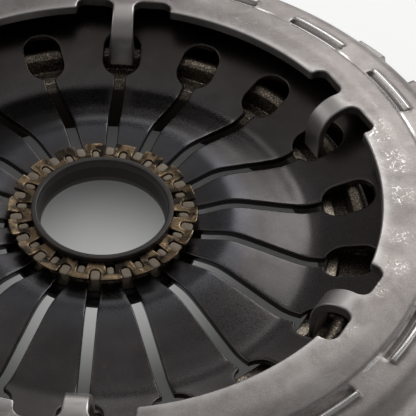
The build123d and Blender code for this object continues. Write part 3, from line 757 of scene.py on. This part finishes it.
# -------------------------------------------------- cover
POCKETS = [SLOT_AT + FINGER_PITCH * k for k in range(FINGERS) if k % (FINGERS // STATIONS)]
STATION_MIDS = [LEAF_AT + PITCH * k for k in range(STATIONS)]
GUSSETS = [m + a for m in STATION_MIDS for a in (-0.15, LEAF_HALF + 0.15)]
INNER, RING_R = SHOULDER - SHEET, 160.0
B = 1.0                         # radius of the cover's cut edges


def apart(a, b):
    """Degrees between two angles, the short way round."""
    return abs((a - b + 180) % 360 - 180)


def nearest(a, middles):
    """Degrees from the angle to the nearest of the middles."""
    return min(apart(a, m) for m in middles)


def columns():
    """The angles of the cover's sections, close together at the flanks of pockets, stations and gussets."""
    marks = [p + e for p in POCKETS for e in (POCKET_FROM, POCKET_TO)]
    marks += [m + s * e for m in STATION_MIDS for s in (-1, 1)
              for e in (STATION_HALF, STATION_HALF + WALL_ARC)]
    marks += [g + s * e for g in GUSSETS for s in (-1, 1) for e in (1.8, 2.9)]
    close = sorted({round((m + d) % 360, 4) for m in marks for d in (-0.3, -0.15, 0, 0.15, 0.3)})
    base = [a for a in np.arange(0, 360, 1.25) if nearest(a, close) > 0.32]
    return sorted(base + close)


def along(line, n):
    """n points evenly spread along a line of points."""
    line = np.array(line, float)
    run = np.concatenate([[0], np.cumsum(np.hypot(*np.diff(line, axis=0).T))])
    t = np.linspace(0, run[-1], n)
    return np.stack([np.interp(t, run, line[:, 0]), np.interp(t, run, line[:, 1])], axis=1)


def bent(points, radii, n=5):
    """An open line with rounded corners, softened as a loop that closes far below it."""
    wide, deep = 400, 900
    (x0, y0), (x1, y1) = points[0], points[-1]
    return soften([*points, (x1 + wide, y1 - deep), (x0 - wide, y0 - deep)], [0, *radii, 0, 0, 0], n)[:-2]


def shoulder(radius, first, last, n):
    """The bend from the land into the wall, between two tilts in degrees."""
    return [(LAND_R + radius * sin(radians(t)), WALL_Z + radius * cos(radians(t)))
            for t in np.linspace(first, last, n)]


# the land from the opening to the shoulder, what a pocket adds to it, and the skin under a pocket
LAND_LINE = np.array(bent([(150, H_TOP), (163.6, H_TOP), (173.8, 67.4), (175.4, 66.75), (188.9, 64.79)],
                          [30, 3, 2], 6))
DIP_LINE = np.array(bent([(165, 0), (173.8, 0), (177.0, -0.3), (179.0, -3.0), (179.8, -3.0), (181.3, 1.2),
                          (183.1, 1.2), (185.0, 0), (190, 0)], [2.0, 1.2, 0.7, 0.8, 0.5, 0.8, 2.0], 5))
SKIN_LINE = np.array([(160, 63.5), (165.5, 63.5), (172.5, 58.8), (176.0, 58.0), (179.5, 60.4), (184.5, 62.5),
                      (190, 64)])
TURN_IN, TURN_OUT = 7.1, 77.5   # tilts of the shoulder where it leaves the land and where it meets the wall
UNDER_R, UNDER_Z, UNDER_BEND = 172.5, 39.5, 24.0       # middle and radius of the land's bend underneath
TOP_RS = [160, 161.5, 163, 164.5, 166, 168, 170, 172] + list(np.arange(173.2, 185.3, 0.6)) + [187, 188.9]
FACE_ROWS, UNDER_ROWS, SHELF_LOW = 26, 17, SHELF_TOP - SHEET


def wall_line(top_z, edge_r, radius):
    """From the shoulder down the wall to a flange whose face is at top_z."""
    at = WALL_R + (FOOT_R - WALL_R) * (WALL_Z - top_z) / (WALL_Z - SHEET)
    arc = shoulder(SHOULDER, TURN_OUT, 90, 5)
    return arc[:-1] + bent([arc[-1], (at, top_z), (edge_r, top_z)], [radius], 6)


def wall_skin(z):
    """Radius of the wall's inside at height z."""
    return WALL_R - SHEET + (FOOT_R - WALL_R) * (WALL_Z - z) / WALL_Z


def section(a):
    """(r, z) all round the sheet at angle a, from the land's top over the edge and back underneath."""
    middle, half, flank = (POCKET_FROM + POCKET_TO) / 2, (POCKET_TO - POCKET_FROM) / 2, 0.28
    in_pocket = float(max(1 - ease(apart(a, p + middle), half - flank, half + flank) for p in POCKETS))
    skin = float(max(1 - ease(apart(a, p - 0.3), 6.7, 7.7) for p in POCKETS))
    shelf = float(1 - ease(nearest(a, STATION_MIDS), STATION_HALF + WALL_ARC - 0.3, STATION_HALF + WALL_ARC))
    tunnel = float(1 - ease(nearest(a, STATION_MIDS), STATION_HALF, STATION_HALF + 0.3))
    rib = float(1 - ease(nearest(a, GUSSETS), 2.6, 3.0))
    hollow = float(1 - ease(nearest(a, GUSSETS), 1.6, 1.95))
    rows = []
    for r in TOP_RS:
        z = np.interp(r, LAND_LINE[:, 0], LAND_LINE[:, 1])
        rows.append((r, z + np.interp(r, DIP_LINE[:, 0], DIP_LINE[:, 1]) * in_pocket))
    rows += shoulder(SHOULDER, TURN_IN, TURN_OUT, 13)[1:-1]
    edge_r = FLANGE_R + (SHELF_R - FLANGE_R) * shelf
    end = edge_r - B
    low = along(wall_line(SHEET, end, 4), FACE_ROWS)
    high = along(wall_line(SHELF_TOP, end, 4), FACE_ROWS)
    face = low + (high - low) * shelf
    if rib:
        arc = shoulder(SHOULDER, TURN_OUT, 90, 5)
        ridge = arc[:-1] + bent([arc[-1], (202.8, 46.1), (215, 46.2), (218.7, SHELF_TOP), (end, SHELF_TOP)],
                                [1.5, 2.0, 0.9], 5)
        face = face + (along(ridge, FACE_ROWS) - face) * rib
    rows += [tuple(p) for p in face]
    top_z, low_z = SHEET + SHELF_LOW * shelf, SHELF_LOW * tunnel
    rows += [(end + B * sin(t), top_z - B + B * cos(t)) for t in np.linspace(0, pi / 2, 4)[1:]]
    rows += [(end + B * cos(t), low_z + B - B * sin(t)) for t in np.linspace(0, pi / 2, 4)]
    skin_r = WALL_R - SHEET
    roof = along([(end, SHELF_LOW), (wall_skin(SHELF_LOW), SHELF_LOW), (skin_r, WALL_Z)], UNDER_ROWS)
    if hollow:
        den = along([(end, SHELF_LOW), (213, SHELF_LOW), (209.5, 41), (197.2, 41), (skin_r, WALL_Z)],
                    UNDER_ROWS)
        roof = roof + (den - roof) * hollow
    under = roof
    if tunnel < 1:
        # bent() wants a line that runs outwards, so the foot is drawn mirrored about its end
        mirrored = bent([(end, 0), (2 * end - wall_skin(0), 0), (2 * end - skin_r, WALL_Z)], [8], 6)
        foot = along([(2 * end - x, y) for x, y in mirrored], UNDER_ROWS)
        under = foot + (roof - foot) * tunnel
    rows += [tuple(p) for p in under[1:]]
    rows += shoulder(INNER, 90, 30, 10)[1:-1]
    for r in list(np.arange(184.5, 165, -1.5)) + [163, RING_R]:
        z = UNDER_Z + sqrt(UNDER_BEND ** 2 - max(r - UNDER_R, 0) ** 2)
        rows.append((r, z + (min(z, np.interp(r, SKIN_LINE[:, 0], SKIN_LINE[:, 1])) - z) * skin))
    return rows


HOOK_ROOT = (-5.0, -2.5, 0.0, 2.5, 5.0)        # points across the root of a hook, shared with the land


def opening_loop():
    """The opening's edge at the top face, clockwise, with its notches; also where the hooks join it.

    Gives the points, 0 or 1 for where the edge is rounded, and the way each point moves when it is."""
    half, far, wide = HOOK_W / 2, NOTCH_R, HOOK_W / 2 + NOTCH_W
    c, quarter = far - NOTCH_CORNER, np.linspace(0, pi / 2, 8)[1:]
    side = [(c, half)]
    side += [(c + NOTCH_CORNER * sin(t), half + NOTCH_CORNER * (1 - cos(t))) for t in quarter]
    side += [(far, y) for y in np.linspace(half + NOTCH_CORNER, wide - NOTCH_CORNER, 8)[1:]]
    side += [(c + NOTCH_CORNER * cos(t), wide - NOTCH_CORNER * (1 - sin(t))) for t in quarter]
    meet = asin(wide / OPEN_R)
    tail = soften([(c, wide), (OPEN_R * cos(meet), wide), polar(OPEN_R, degrees(meet) + 6)[:2],
                   (c + 20, wide + 30)], [0, 2.2, 0, 0], 5)[1:-2]
    side += tail
    start = degrees(atan2(tail[-1][1], tail[-1][0]))
    side += [polar(OPEN_R, a)[:2] for a in np.linspace(start, 30, 22)[1:]]
    root = [(c, y) for y in HOOK_ROOT]
    other = [(x, -y) for x, y in side[::-1]][1:]
    period = other + root + side
    first, past = len(other), len(other) + len(HOOK_ROOT)
    loop, joint, normal = [], [], []
    for k in range(HOOKS):
        turn = radians(HOOK_AT + HOOK_PITCH * k)
        for i, (x, y) in enumerate(period):
            loop.append((x * cos(turn) - y * sin(turn), x * sin(turn) + y * cos(turn)))
            joint.append(0.0 if first <= i < past else 1.0)
            normal.append({first - 1: 1, past: -1}.get(i, 0))
    loop, joint, normal = loop[::-1], joint[::-1], normal[::-1]
    push = inward(loop)
    for i, way in enumerate(normal):
        if way:
            a = round((degrees(atan2(loop[i][1], loop[i][0])) - HOOK_AT) / HOOK_PITCH) * HOOK_PITCH + HOOK_AT
            push[i] = np.array([-sin(radians(a)), cos(radians(a))]) * way
    return np.array(loop), np.array(joint), push


def cover_shape():
    """The pressed cover without its hooks: the sections, then the land between them and the opening."""
    angles = columns()
    verts, faces = [], []
    rows = [section(a) for a in angles]
    n, m = len(rows[0]), len(angles)
    for a, row in zip(angles, rows):
        verts += [polar(r, a, z) for r, z in row]
    for j in range(m):
        k = (j + 1) % m
        faces += [(j * n + i, j * n + i + 1, k * n + i + 1, k * n + i) for i in range(n - 1)]
    loop, joint, push = opening_loop()
    edge, at = edge_rows(B), []
    for z, sign, steps in ((H_TOP - SHEET, 1, edge[::-1]), (H_TOP, -1, edge)):
        for d, e in steps:
            p = loop + push * (d * joint)[:, None]
            at.append(len(verts))
            verts += [(x, y, z + sign * e * w) for (x, y), w in zip(p, joint)]
    c = len(loop)
    for a, b in zip(at, at[1:]):
        for i in range(c):
            j = (i + 1) % c
            if joint[i] == 1 and joint[j] == 1:
                faces.append((a + i, a + j, b + j, b + i))
    inner = [verts[at[-1] + i][:2] for i in range(c)]
    ring = [polar(RING_R, a)[:2] for a in angles]
    for f in fill([inner, ring]):
        faces.append(tuple(at[-1] + i if i < c else (i - c) * n for i in f))
        faces.append(tuple(at[0] + i if i < c else (i - c) * n + n - 1 for i in f[::-1]))
    return verts, faces


def hook_shape():
    """A hook at angle 0, open where it joins the land."""
    bend, half = NOTCH_R - NOTCH_CORNER, HOOK_W / 2
    out_r, in_r = bend - HOOK_R, bend - HOOK_R - HOOK_T
    turns = np.linspace(0, pi / 2, 13)
    front = [(bend - out_r * sin(t), H_TOP - out_r * (1 - cos(t))) for t in turns]
    back = [(bend - in_r * sin(t), H_TOP - SHEET - in_r * (1 - cos(t))) for t in turns]
    z_low = H_TOP - out_r
    steps = np.linspace(0, 1, 7)[1:]
    end = HOOK_TIP_Z + B
    front += [(HOOK_R + 0.6 * t, z_low + (end - z_low) * t) for t in steps]
    z_in = H_TOP - SHEET - in_r
    back += [(HOOK_R + HOOK_T - 0.3 * t, z_in + (end - z_in) * t) for t in steps]
    edge = edge_rows(B)
    ring = [(half - d, e, -1) for d, e in edge[::-1]] + [(half - d, e, 1) for d, e in edge]
    ring += [(y, 0, 1) for y in HOOK_ROOT[::-1]]
    ring += [(-half + d, e, 1) for d, e in edge[::-1]] + [(-half + d, e, -1) for d, e in edge]
    ring += [(y, 0, -1) for y in HOOK_ROOT]
    verts, faces = [], []
    for (xo, zo), (xi, zi) in zip(front, back):
        o, i = np.array([xo, zo]), np.array([xi, zi])
        thick = np.linalg.norm(o - i)
        down = (i - o) / thick
        middle = (zo + zi) / 2
        wide = float(np.interp(middle, [H_TOP - 20.5, H_TOP - SHEET], [HOOK_TIP_W / HOOK_W, 1]))
        for y, e, face in ring:
            p = o + down * e if face > 0 else i - down * e
            verts.append((p[0], y * wide, p[1]))
    n, rows = len(ring), len(front)
    for thin, narrow, drop in ((0.875, 0.9675, 0.75), (0.725, 0.9285, 1.0)):     # the rounded tip
        last = verts[(rows - 1) * n:rows * n]
        mid = np.mean(last, axis=0)
        verts += [(mid[0] + (x - mid[0]) * thin, mid[1] + (y - mid[1]) * narrow, end - B * drop)
                  for x, y, z in last]
        rows += 1
    for k in range(rows - 1):
        faces += strip(k * n, (k + 1) * n, n)
    faces.append(tuple(range((rows - 1) * n, rows * n)))
    return verts, faces


whole = joined(cover_shape(), *[spun(hook_shape(), HOOK_AT + HOOK_PITCH * k) for k in range(HOOKS)])
cover = make("pressed_cover", whole, COVER_STEEL, sharp=50, weld=2e-5)


def drilled(obj, holes):
    """Cuts upright round holes, each (r, angle, diameter, low, high)."""
    shapes, n = [], 40
    for r, a, d, low, high in holes:
        x, y, _ = polar(r, a)
        pts = [(x + d / 2 * cos(2 * pi * i / n), y + d / 2 * sin(2 * pi * i / n)) for i in range(n)]
        verts = [(*p, low) for p in pts] + [(*p, high) for p in pts]
        shapes.append((verts, [tuple(range(n))[::-1], tuple(range(n, 2 * n)), *strip(0, n, n)]))
    tool = make("drill", joined(*shapes), obj.data.materials[0])
    cut = obj.modifiers.new("holes", "BOOLEAN")
    cut.operation, cut.solver, cut.object = "DIFFERENCE", "EXACT", tool
    settle(obj)
    bpy.data.objects.remove(tool)
    clean(obj, 1e-6, 50)
    mark_wear(obj.data)


holes = []
for k in range(STATIONS):
    middle = BOLTS_AT + PITCH * k
    holes += [(BOLT_R, middle + a * BOLT_STEP, BOLT_D, -3, 9) for a in (-1.5, -0.5, 0.5, 1.5)]
    holes += [(BOLT_R, middle, DOWEL_D, -3, 9), (BOLT_R, middle + BOLT_STEP, PIN_D, -3, 9)]
    holes.append((LEAF_HOLE_R, STATION_MIDS[k] - LEAF_HALF, RIVET_D, 20, 34))
drilled(cover, holes)


def polish_and_painted_light_of(x, y, z):
    """How rubbed and how lit a point of the cover is painted: painted highlight, and painted shade.

    Painted highlights sit on the lips of the pockets and on a wedge of the crease just before each pocket,
    which are also smoother. The pockets at the front get painted shade, darker inside than the ones at the
    back."""
    r, a = hypot(x, y), degrees(atan2(y, x)) % 360
    rel = min(((a - p + 180) % 360 - 180 for p in POCKETS), key=abs)
    far = float(ease(sin(radians(a)), -0.5, -0.15))
    long = float(1 - ease(abs(rel + 0.3), 5.3, 5.9)) if z > 60 else 0

    def band(middle, half):
        return long * float(1 - ease(abs(r - middle), half, half + 0.7))

    # painted highlights: the inner wall's band only at the back, where the light falls on it, and the outer
    # lip all round
    bright = max(far * band(175.8, 1.3), band(182.2, 1.1), 0.5 * band(178.6, 1.6))
    # painted shade: the front pockets' inner wall and outer edge, and a line on the back pockets' floor
    dark = max((1 - far) * band(177.8, 1.4), (1 - 0.9 * far) * band(184.8, 0.8), 0.8 * far * band(179.4, 0.4))
    # painted highlight: the wedge of crease before each pocket that catches the light
    before = ease(rel, -14, -10.5) * (1 - ease(rel, -7.6, -6.6))
    wedge = float(before * (1 - ease(abs(r - 176.2), 0.5, 1.3))) if z > 65 else 0
    return max(bright * (1 - dark), 0.9 * wedge), dark


layer = cover.data.attributes.new("polish", "FLOAT", "POINT")
polish_and_painted_light = np.array([polish_and_painted_light_of(*(c / MM for c in v.co)) for v in cover.data.vertices])
layer.data.foreach_set("value", polish_and_painted_light[:, 0])
# the painted shade is written into hollow, so the finish darkens it like a soiled corner
hollow = cover.data.attributes["hollow"].data
for i in np.flatnonzero(polish_and_painted_light[:, 1] > 0.05):
    hollow[i].value = max(hollow[i].value, float(polish_and_painted_light[i, 1]))
dress(cover, ["cover"])
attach(cover, "cover")

# -------------------------------------------------- release hub
HUB_R, BACK, CONE_IN = 37.9, 73.6, 69.2        # BACK and CONE_IN: r + z along the outer and the inner cone
around = np.linspace(0, 360, 241)[:-1]
thrust = soften([(LIP_R, LIP_Z), (LIP_R, 47.2), (HUB_R - 0.5, 47.2), (HUB_R - 0.5, 45.0), (HUB_R, 45.0),
                 (HUB_R, BACK - HUB_R), (BACK - 29, 29.0), (51.5, 29.0), (51.5, 25.5), (CONE_IN - 25.5, 25.5),
                 (BORE_R, CONE_IN - BORE_R), (BORE_R, 38.5), (34.8, 45.0), (LIP_IN, LIP_Z)],
                [0.7, 0.2, 0, 0.1, 0.1, 0.8, 0.6, 0.8, 0.8, 0.8, 1.5, 0.8, 0.6, 1.1], 4)
piece = make("thrust_ring_turned", turned(thrust, around), THRUST_STEEL)
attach(dress(piece, ["thrust_ring"]), "release_hub")

seat = soften([(40.7, 29.1), (SEAT_R, 29.1), (SEAT_R, 33.0), (52.2, 33.0), (52.2, 35.2), (50.2, 36.85),
               (48.2, 35.2), (48.2, 33.0), (40.7, 33.0)], [0.5, 0.8, 0.8, 0.5, 0.9, 1.2, 0.9, 0.4, 0.3], 4)
piece = make("seat_ring_moulded", turned(seat, around), SEAT_BLACK)
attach(dress(piece, ["seat_ring"]), "release_hub")


def lug(r_in, r_out, width, corner, bevel, low=34.0):
    """An upright lug at angle 0 with a slightly domed top."""
    half = width / 2
    loop = dense(soften(box(r_in, r_out, -half, half), corner, 4), 1.2)
    net = hexes(loop, bevel + 0.5, 1.1, (r_in, -half), (r_out, half))

    def dome(x, y):
        return LUG_TOP - 0.35 * (y / half) ** 2 - 0.02 * (x - (r_in + r_out) / 2) ** 2

    return sheet(loop, dome, lambda x, y: low, bevel, None, None, net)


base = turned(soften(box(40.75, 46.9, 33.05, 35.2), [0.2, 0.2, 0.6, 0.3], 3), around)
piece = make("lug_ring_base", base, LUG_TAN)
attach(dress(piece, ["lug_ring"]), "release_hub")
foot = sheet(dense(soften(box(43.3, 46.9, -2.3, 2.3), 0.8, 3), 1.2),
             lambda x, y: 45.0, lambda x, y: 34.0, 0.3)
outer_lug = joined(lug(43.1, 49.6, 5.2, 1.5, 0.7, 44.9), foot)
inner_lug = lug(40.8, 46.3, 4.0, 1.5, 0.8)
outer = ring_of("outer_lugs", make("outer_lug", outer_lug, LUG_TAN), FINGERS, SLOT_AT, LUG_TAN)
inner = ring_of("inner_lugs", make("inner_lug", inner_lug, LUG_TAN), FINGERS, FINGER_AT, LUG_TAN)
for lugs in (outer, inner):
    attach(dress(lugs), "release_hub")


def star_tooth():
    """One tooth of the star spring at angle 0, with the notch for an inner lug, open to its neighbours.

    s runs along the middle of a gap between teeth and d across it, as on a finger."""
    half_pitch = FINGER_PITCH / 2
    turn = radians(half_pitch)
    u, n = np.array([cos(turn), sin(turn)]), np.array([sin(turn), -cos(turn)])
    half, bottom = 2.95, 42.7           # half width of a gap, and the radius of its bottom
    notch_half, notch_end = 2.3, 44.4
    side = [(s, 0.0) for s in (39.5, 40.6, 41.5)]
    side += [(bottom + half - half * cos(t), half * sin(t)) for t in np.linspace(0, pi / 2, 8)]
    side += [(47.5, half)]
    upper = [s * u + d * n for s, d in side]
    out_at = degrees(asin(half / STAR_OUT))
    corner = spot(STAR_OUT, half_pitch - out_at)
    rim = [spot(STAR_OUT, a) for a in (3.2, 0.0, -3.2)]
    mouth = np.array((sqrt(STAR_IN ** 2 - notch_half ** 2), -notch_half))
    notch = [mouth, np.array((notch_end, -notch_half))]
    bend_in = [np.array((notch_end + notch_half * sin(t), -notch_half * cos(t)))
               for t in np.linspace(0, pi, 9)[1:-1]]
    low = [p * (1, -1) for p in upper]
    start, end = spot(STAR_IN, half_pitch), spot(STAR_IN, -half_pitch)
    loop = [end] + low + [corner * (1, -1)] + rim[::-1] + [corner] + upper[::-1] + [start]
    loop += [spot(STAR_IN, a) for a in (8.0, 6.0)] + [notch[0] * (1, -1), notch[1] * (1, -1)]
    loop += [p * (1, -1) for p in bend_in] + [notch[1], notch[0]] + [spot(STAR_IN, a) for a in (-6, -8)]
    radius = [0.0] * len(loop)
    a, b = 1 + len(low), 1 + len(low) + 1 + len(rim)
    radius[a] = radius[b] = 1.0
    c = b + len(upper) + 4
    radius[c] = radius[c + 3 + len(bend_in)] = 0.8
    loop = dense(soften(loop, radius, 4), 0.9)
    push, keep = inward(loop), np.ones(len(loop))
    for i, (x, y) in enumerate(loop):
        up = np.array([x, abs(y)])
        s, d = float(up @ u), float(up @ n)
        if abs(d) < 1e-5 and s < bottom + 0.1:
            out = u if y > 0 else u * (1, -1)
            if s < STAR_IN + 0.1:
                push[i] = out
            elif s > bottom - 0.1:
                push[i] = -out
            else:
                keep[i] = 0

    def top(x, y):
        past = hypot(x, y) - STAR_BEND
        return STAR_Z + past / (STAR_OUT - STAR_BEND) * float(ease(past, -0.5, 0.5))

    net = hexes(loop, 1.0, 1.1, (36, -9), (51, 9))
    return sheet(loop, top, lambda x, y: top(x, y) - STAR_T, 0.45, keep, push, net)


tooth = make("star_tooth", star_tooth(), STAR_GOLD)
star = ring_of("star_spring_teeth", tooth, FINGERS, FINGER_AT, STAR_GOLD)
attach(dress(star, ["star_spring"]), "release_hub")

# -------------------------------------------------- pressure plate
VENTS, VENT_HALF = (-10.0, 170.0), 20  # gaps in the ridge


def plate_line(a):
    """The plate's section at angle a: friction face, rim, rounded ridge, rough floor and land."""
    flank = (VENT_HALF - 0.8, VENT_HALF + 0.6)
    cut = float(max(1 - ease(radians(apart(a, v)) * RIDGE_R, *flank) for v in VENTS))
    r_in, r_out, side_top = RIDGE_R - RIDGE_W / 2, RIDGE_R + RIDGE_W / 2, RIDGE_TOP - 2.5
    z = RIDGE_TOP + (FLOOR_TOP + 0.1 - RIDGE_TOP) * cut
    side = side_top + (FLOOR_TOP - side_top) * cut
    bead = [(r_out - (r_out - r_in) * t, side + (z - side) * (1 - (2 * t - 1) ** 2))
            for t in np.linspace(0, 1, 11)]
    line = [(PLATE_IN, PLATE_Z), (PLATE_OUT, PLATE_Z), (PLATE_OUT, 7), (PLATE_OUT - 8, 9),
            (PLATE_OUT - 12, 20), (r_out + 6, 22), *bead, (r_in - 0.6, FLOOR_TOP),
            (PLATE_IN + 7, FLOOR_TOP), (PLATE_IN + 7, LAND_TOP), (PLATE_IN, LAND_TOP)]
    return soften(line, [1, 1, 1.5, 4, 5, 2.5] + [0.3] * 11 + [1.2, 1.0, 1.2, 1.4], 3)


flanks = [v + s * degrees(VENT_HALF / RIDGE_R) + d for v in VENTS for s in (-1, 1)
          for d in (-0.4, -0.2, 0, 0.2, 0.4)]
spread = sorted(set(round(a % 360, 3) for a in [*np.linspace(0, 360, 241), *flanks]))
disc = make("cast_plate_body", turned(plate_line, spread), CAST_IRON, weld=1e-6)
# the lug at a station that carries its leaf pack: radii, then how far it lies to the side of the middle
pad_in, pad_out, pad_low, pad_high = PLATE_OUT - 20, LEAF_HOLE_R + 6, 31.08, 57.08
pad = soften(box(pad_in, pad_out, pad_low, pad_high), 8, 6)
for k, middle in enumerate(STATION_MIDS):
    block = sheet(dense(pad, 4), lambda x, y: 12.0, lambda x, y: -2.0, 1.2)
    tool = make(f"pad_{k}", spun(block, middle), CAST_IRON)
    join = disc.modifiers.new("pad", "BOOLEAN")
    join.operation, join.solver, join.object = "UNION", "EXACT", tool
    settle(disc)
    bpy.data.objects.remove(tool)
drilled(disc, [(LEAF_HOLE_R, m + LEAF_HALF, RIVET_D, -5, 15) for m in STATION_MIDS])
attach(dress(disc, ["pressure_plate"]), "pressure_plate")

# -------------------------------------------------- leaf packs, rivets, spacers and the balance weight
reach = LEAF_HOLE_R * sin(radians(LEAF_HALF))
leaf_r = LEAF_HOLE_R * cos(radians(LEAF_HALF))
wide, long = LEAF_W / 2, reach + 10
blank = soften(box(leaf_r - wide, leaf_r + wide, -long, long), 6, 6)
for k, middle in enumerate(STATION_MIDS):
    for layer_at in range(LEAVES):
        low = LEAF_Z + layer_at * LEAF_T
        shape = sheet(dense(blank, 4), lambda x, y: low + LEAF_T - 0.02, lambda x, y: low + 0.02, 0.25)
        leaf = make(f"leaf_{'abc'[k]}{layer_at + 1}_strip", spun(shape, middle), LEAF_STEEL)
        drilled(leaf, [(LEAF_HOLE_R, middle + s * LEAF_HALF, RIVET_D, 8, 20) for s in (-1, 1)])
        dress(leaf, [f"leaf_{'abc'[k]}{layer_at + 1}"])
        [v * MM for v in polar(LEAF_HOLE_R, middle - LEAF_HALF, 13)]
        [v * MM for v in polar(LEAF_HOLE_R, middle + LEAF_HALF, 13)]
        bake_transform(leaf)


def moved(shape, x, y):
    """The shape slid by x and y."""
    return [(a + x, b + y, c) for a, b, c in shape[0]], shape[1]


small = np.linspace(0, 360, 49)[:-1]           # steps round a rivet or washer


def rivet(low, high, shank, head, tall):
    """A rivet with a head above and a closing head below, on the axis."""
    line = [(0.01, low - tall), (head - 1.2, low - tall), (head, low - tall + 1.4), (head, low), (shank, low),
            (shank, high), (head, high), (head, high + tall - 1.4), (head - 1.2, high + tall),
            (0.01, high + tall)]
    return turned(soften(line, [0, 0.6, 0.6, 0.2, 0.1, 0.1, 0.2, 0.6, 0.6, 0], 3), small)


def washer(inner_r, outer_r, low, high):
    """A flat ring on the axis."""
    return turned(soften(box(inner_r, outer_r, low, high), 0.4, 3), small)


def at_stations(name, shape, angle, material, node, body):
    """One small piece at each leaf station, all as one piece of the given body."""
    x, y, _ = polar(LEAF_HOLE_R, angle)
    rings = ring_of(name, make(name + "_one", moved(shape, x, y), material), STATIONS, 0, material)
    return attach(dress(rings, [node]), body)


SHANK, HEAD_R, HEAD = 5.0, 7.5, 3.5            # rivets of the leaf packs
COVER_END, PLATE_END = LEAF_AT - LEAF_HALF, LEAF_AT + LEAF_HALF
at_stations("cover_rivet_set", rivet(LEAF_Z, SHELF_TOP, SHANK, HEAD_R, HEAD), COVER_END, RIVET_STEEL,
            "cover_rivets", "cover")
at_stations("spacer_set", washer(5.02, 9, 15.05, 23.95), COVER_END, SPACER_STEEL,
            "leaf_spacers", "cover")
at_stations("plate_rivet_set", rivet(-2, 17, SHANK, HEAD_R, HEAD), PLATE_END, RIVET_STEEL,
            "plate_rivets", "pressure_plate")
at_stations("washer_set", washer(5.02, 9, 15.05, 16.95), PLATE_END, SPACER_STEEL,
            "leaf_washers", "pressure_plate")

W_AT, W_R = BOLTS_AT + BOLT_STEP, BOLT_R + 0.8         # the balance weight's angle and radius
slab = sheet(dense(soften(box(W_R - 5.5, W_R + 5.5, -12, 12), 3, 5), 3),
             lambda x, y: 8.98, lambda x, y: 6.02, 0.6)
weight = make("balance_plate", spun(slab, W_AT), WEIGHT_STEEL)
drilled(weight, [(BOLT_R, W_AT, PIN_D, 4, 11)])
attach(dress(weight, ["balance_weight"]), "cover")
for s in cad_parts["balance_rivet"].material_slots:
    s.material = RIVET_STEEL

# -------------------------------------------------- stage, camera and light
scene = bpy.context.scene
floor_mesh = bpy.data.meshes.new("floor")
corners = [(x, y, FLOOR_LEVEL) for x, y in ((-40, -40), (40, -40), (40, 40), (-40, 40))]
floor_mesh.from_pydata(corners, [], [(0, 1, 2, 3)])
floor = bpy.data.objects.new("floor", floor_mesh)
scene.collection.objects.link(floor)
pale = bpy.data.materials.new("pale_paper")
pale.use_nodes = True
tree = pale.node_tree
shader = tree.nodes["Principled BSDF"]
shader.inputs["Roughness"].default_value = 0.9
shader.inputs["Base Color"].default_value = (0.6, 0.6, 0.595, 1)
shader.inputs["Specular IOR Level"].default_value = 0.1
# painted light and shade on the floor: a painted pool of light under the bore, a painted shadow under the
# clutch from 85 to 170 mm out, and the evenly white backdrop further out; it glows only to camera and glossy
# rays
reach_out = radius_of(tree, tree.nodes.new("ShaderNodeTexCoord").outputs["Object"])
painted_light_under_bore = window(tree, reach_out, 0.015, 0.085, 0.31, 0.04)
backdrop_past_painted_shadow = window(tree, reach_out, 0.17, 0.25, 0.0, 0.60)
painted_floor_light = maths(tree, "ADD", painted_light_under_bore, backdrop_past_painted_shadow)
shader.inputs["Emission Color"].default_value = (1, 1, 0.99, 1)
ray = tree.nodes.new("ShaderNodeLightPath")
seen = maths(tree, "MAXIMUM", ray.outputs["Is Camera Ray"], ray.outputs["Is Glossy Ray"])
tree.links.new(maths(tree, "MULTIPLY", painted_floor_light, seen), shader.inputs["Emission Strength"])
floor.data.materials.append(pale)

eye = bpy.data.cameras.new("camera")
eye.lens, eye.sensor_width = 124.56, 36.0
eye.clip_start, eye.clip_end = 0.02, 60
camera = bpy.data.objects.new("camera", eye)
scene.collection.objects.link(camera)
right = (0.998338, 0.034531, 0.046149)
up = (-0.056924, 0.716392, 0.695373)
forward = (0.009049, 0.696844, -0.717166)
turn = Matrix([[right[i], up[i], -forward[i]] for i in range(3)])
camera.matrix_world = Matrix.Translation((0.049363, -0.536579, 0.604926)) @ turn.to_4x4()
scene.camera = camera


def panel(name, azimuth, rise, distance, wide, tall, radiance):
    """A soft box seen from the object at azimuth degrees right of straight behind, rise degrees up."""
    flat, height = distance * cos(radians(rise)), distance * sin(radians(rise))
    place = Vector((flat * sin(radians(azimuth)), flat * cos(radians(azimuth)), height))
    data = bpy.data.lights.new(name, "AREA")
    data.shape, data.size, data.size_y = "RECTANGLE", wide, tall
    data.energy = radiance * pi * wide * tall
    lamp = bpy.data.objects.new(name, data)
    lamp.location = place
    lamp.rotation_euler = (Vector((0.03, 0, 0.04)) - place).to_track_quat("-Z", "Y").to_euler()
    scene.collection.objects.link(lamp)


panel("key_box", 31, 39, 1.8, 1.15, 0.8, 2.45)
panel("top_box", -40, 72, 1.6, 1.5, 1.2, 0.33)
panel("back_card", 6, 18, 1.9, 1.1, 0.62, 1.0)
panel("side_box", 80, 22, 1.7, 0.9, 0.9, 0.5)
panel("left_box", -78, 36, 1.7, 0.9, 0.8, 0.75)
world = bpy.data.worlds.new("studio")
scene.world = world
world.use_nodes = True
back = world.node_tree.nodes["Background"]
back.inputs["Color"].default_value = (1, 1, 1, 1)
back.inputs["Strength"].default_value = 0.17
scene.view_settings.view_transform = "Standard"
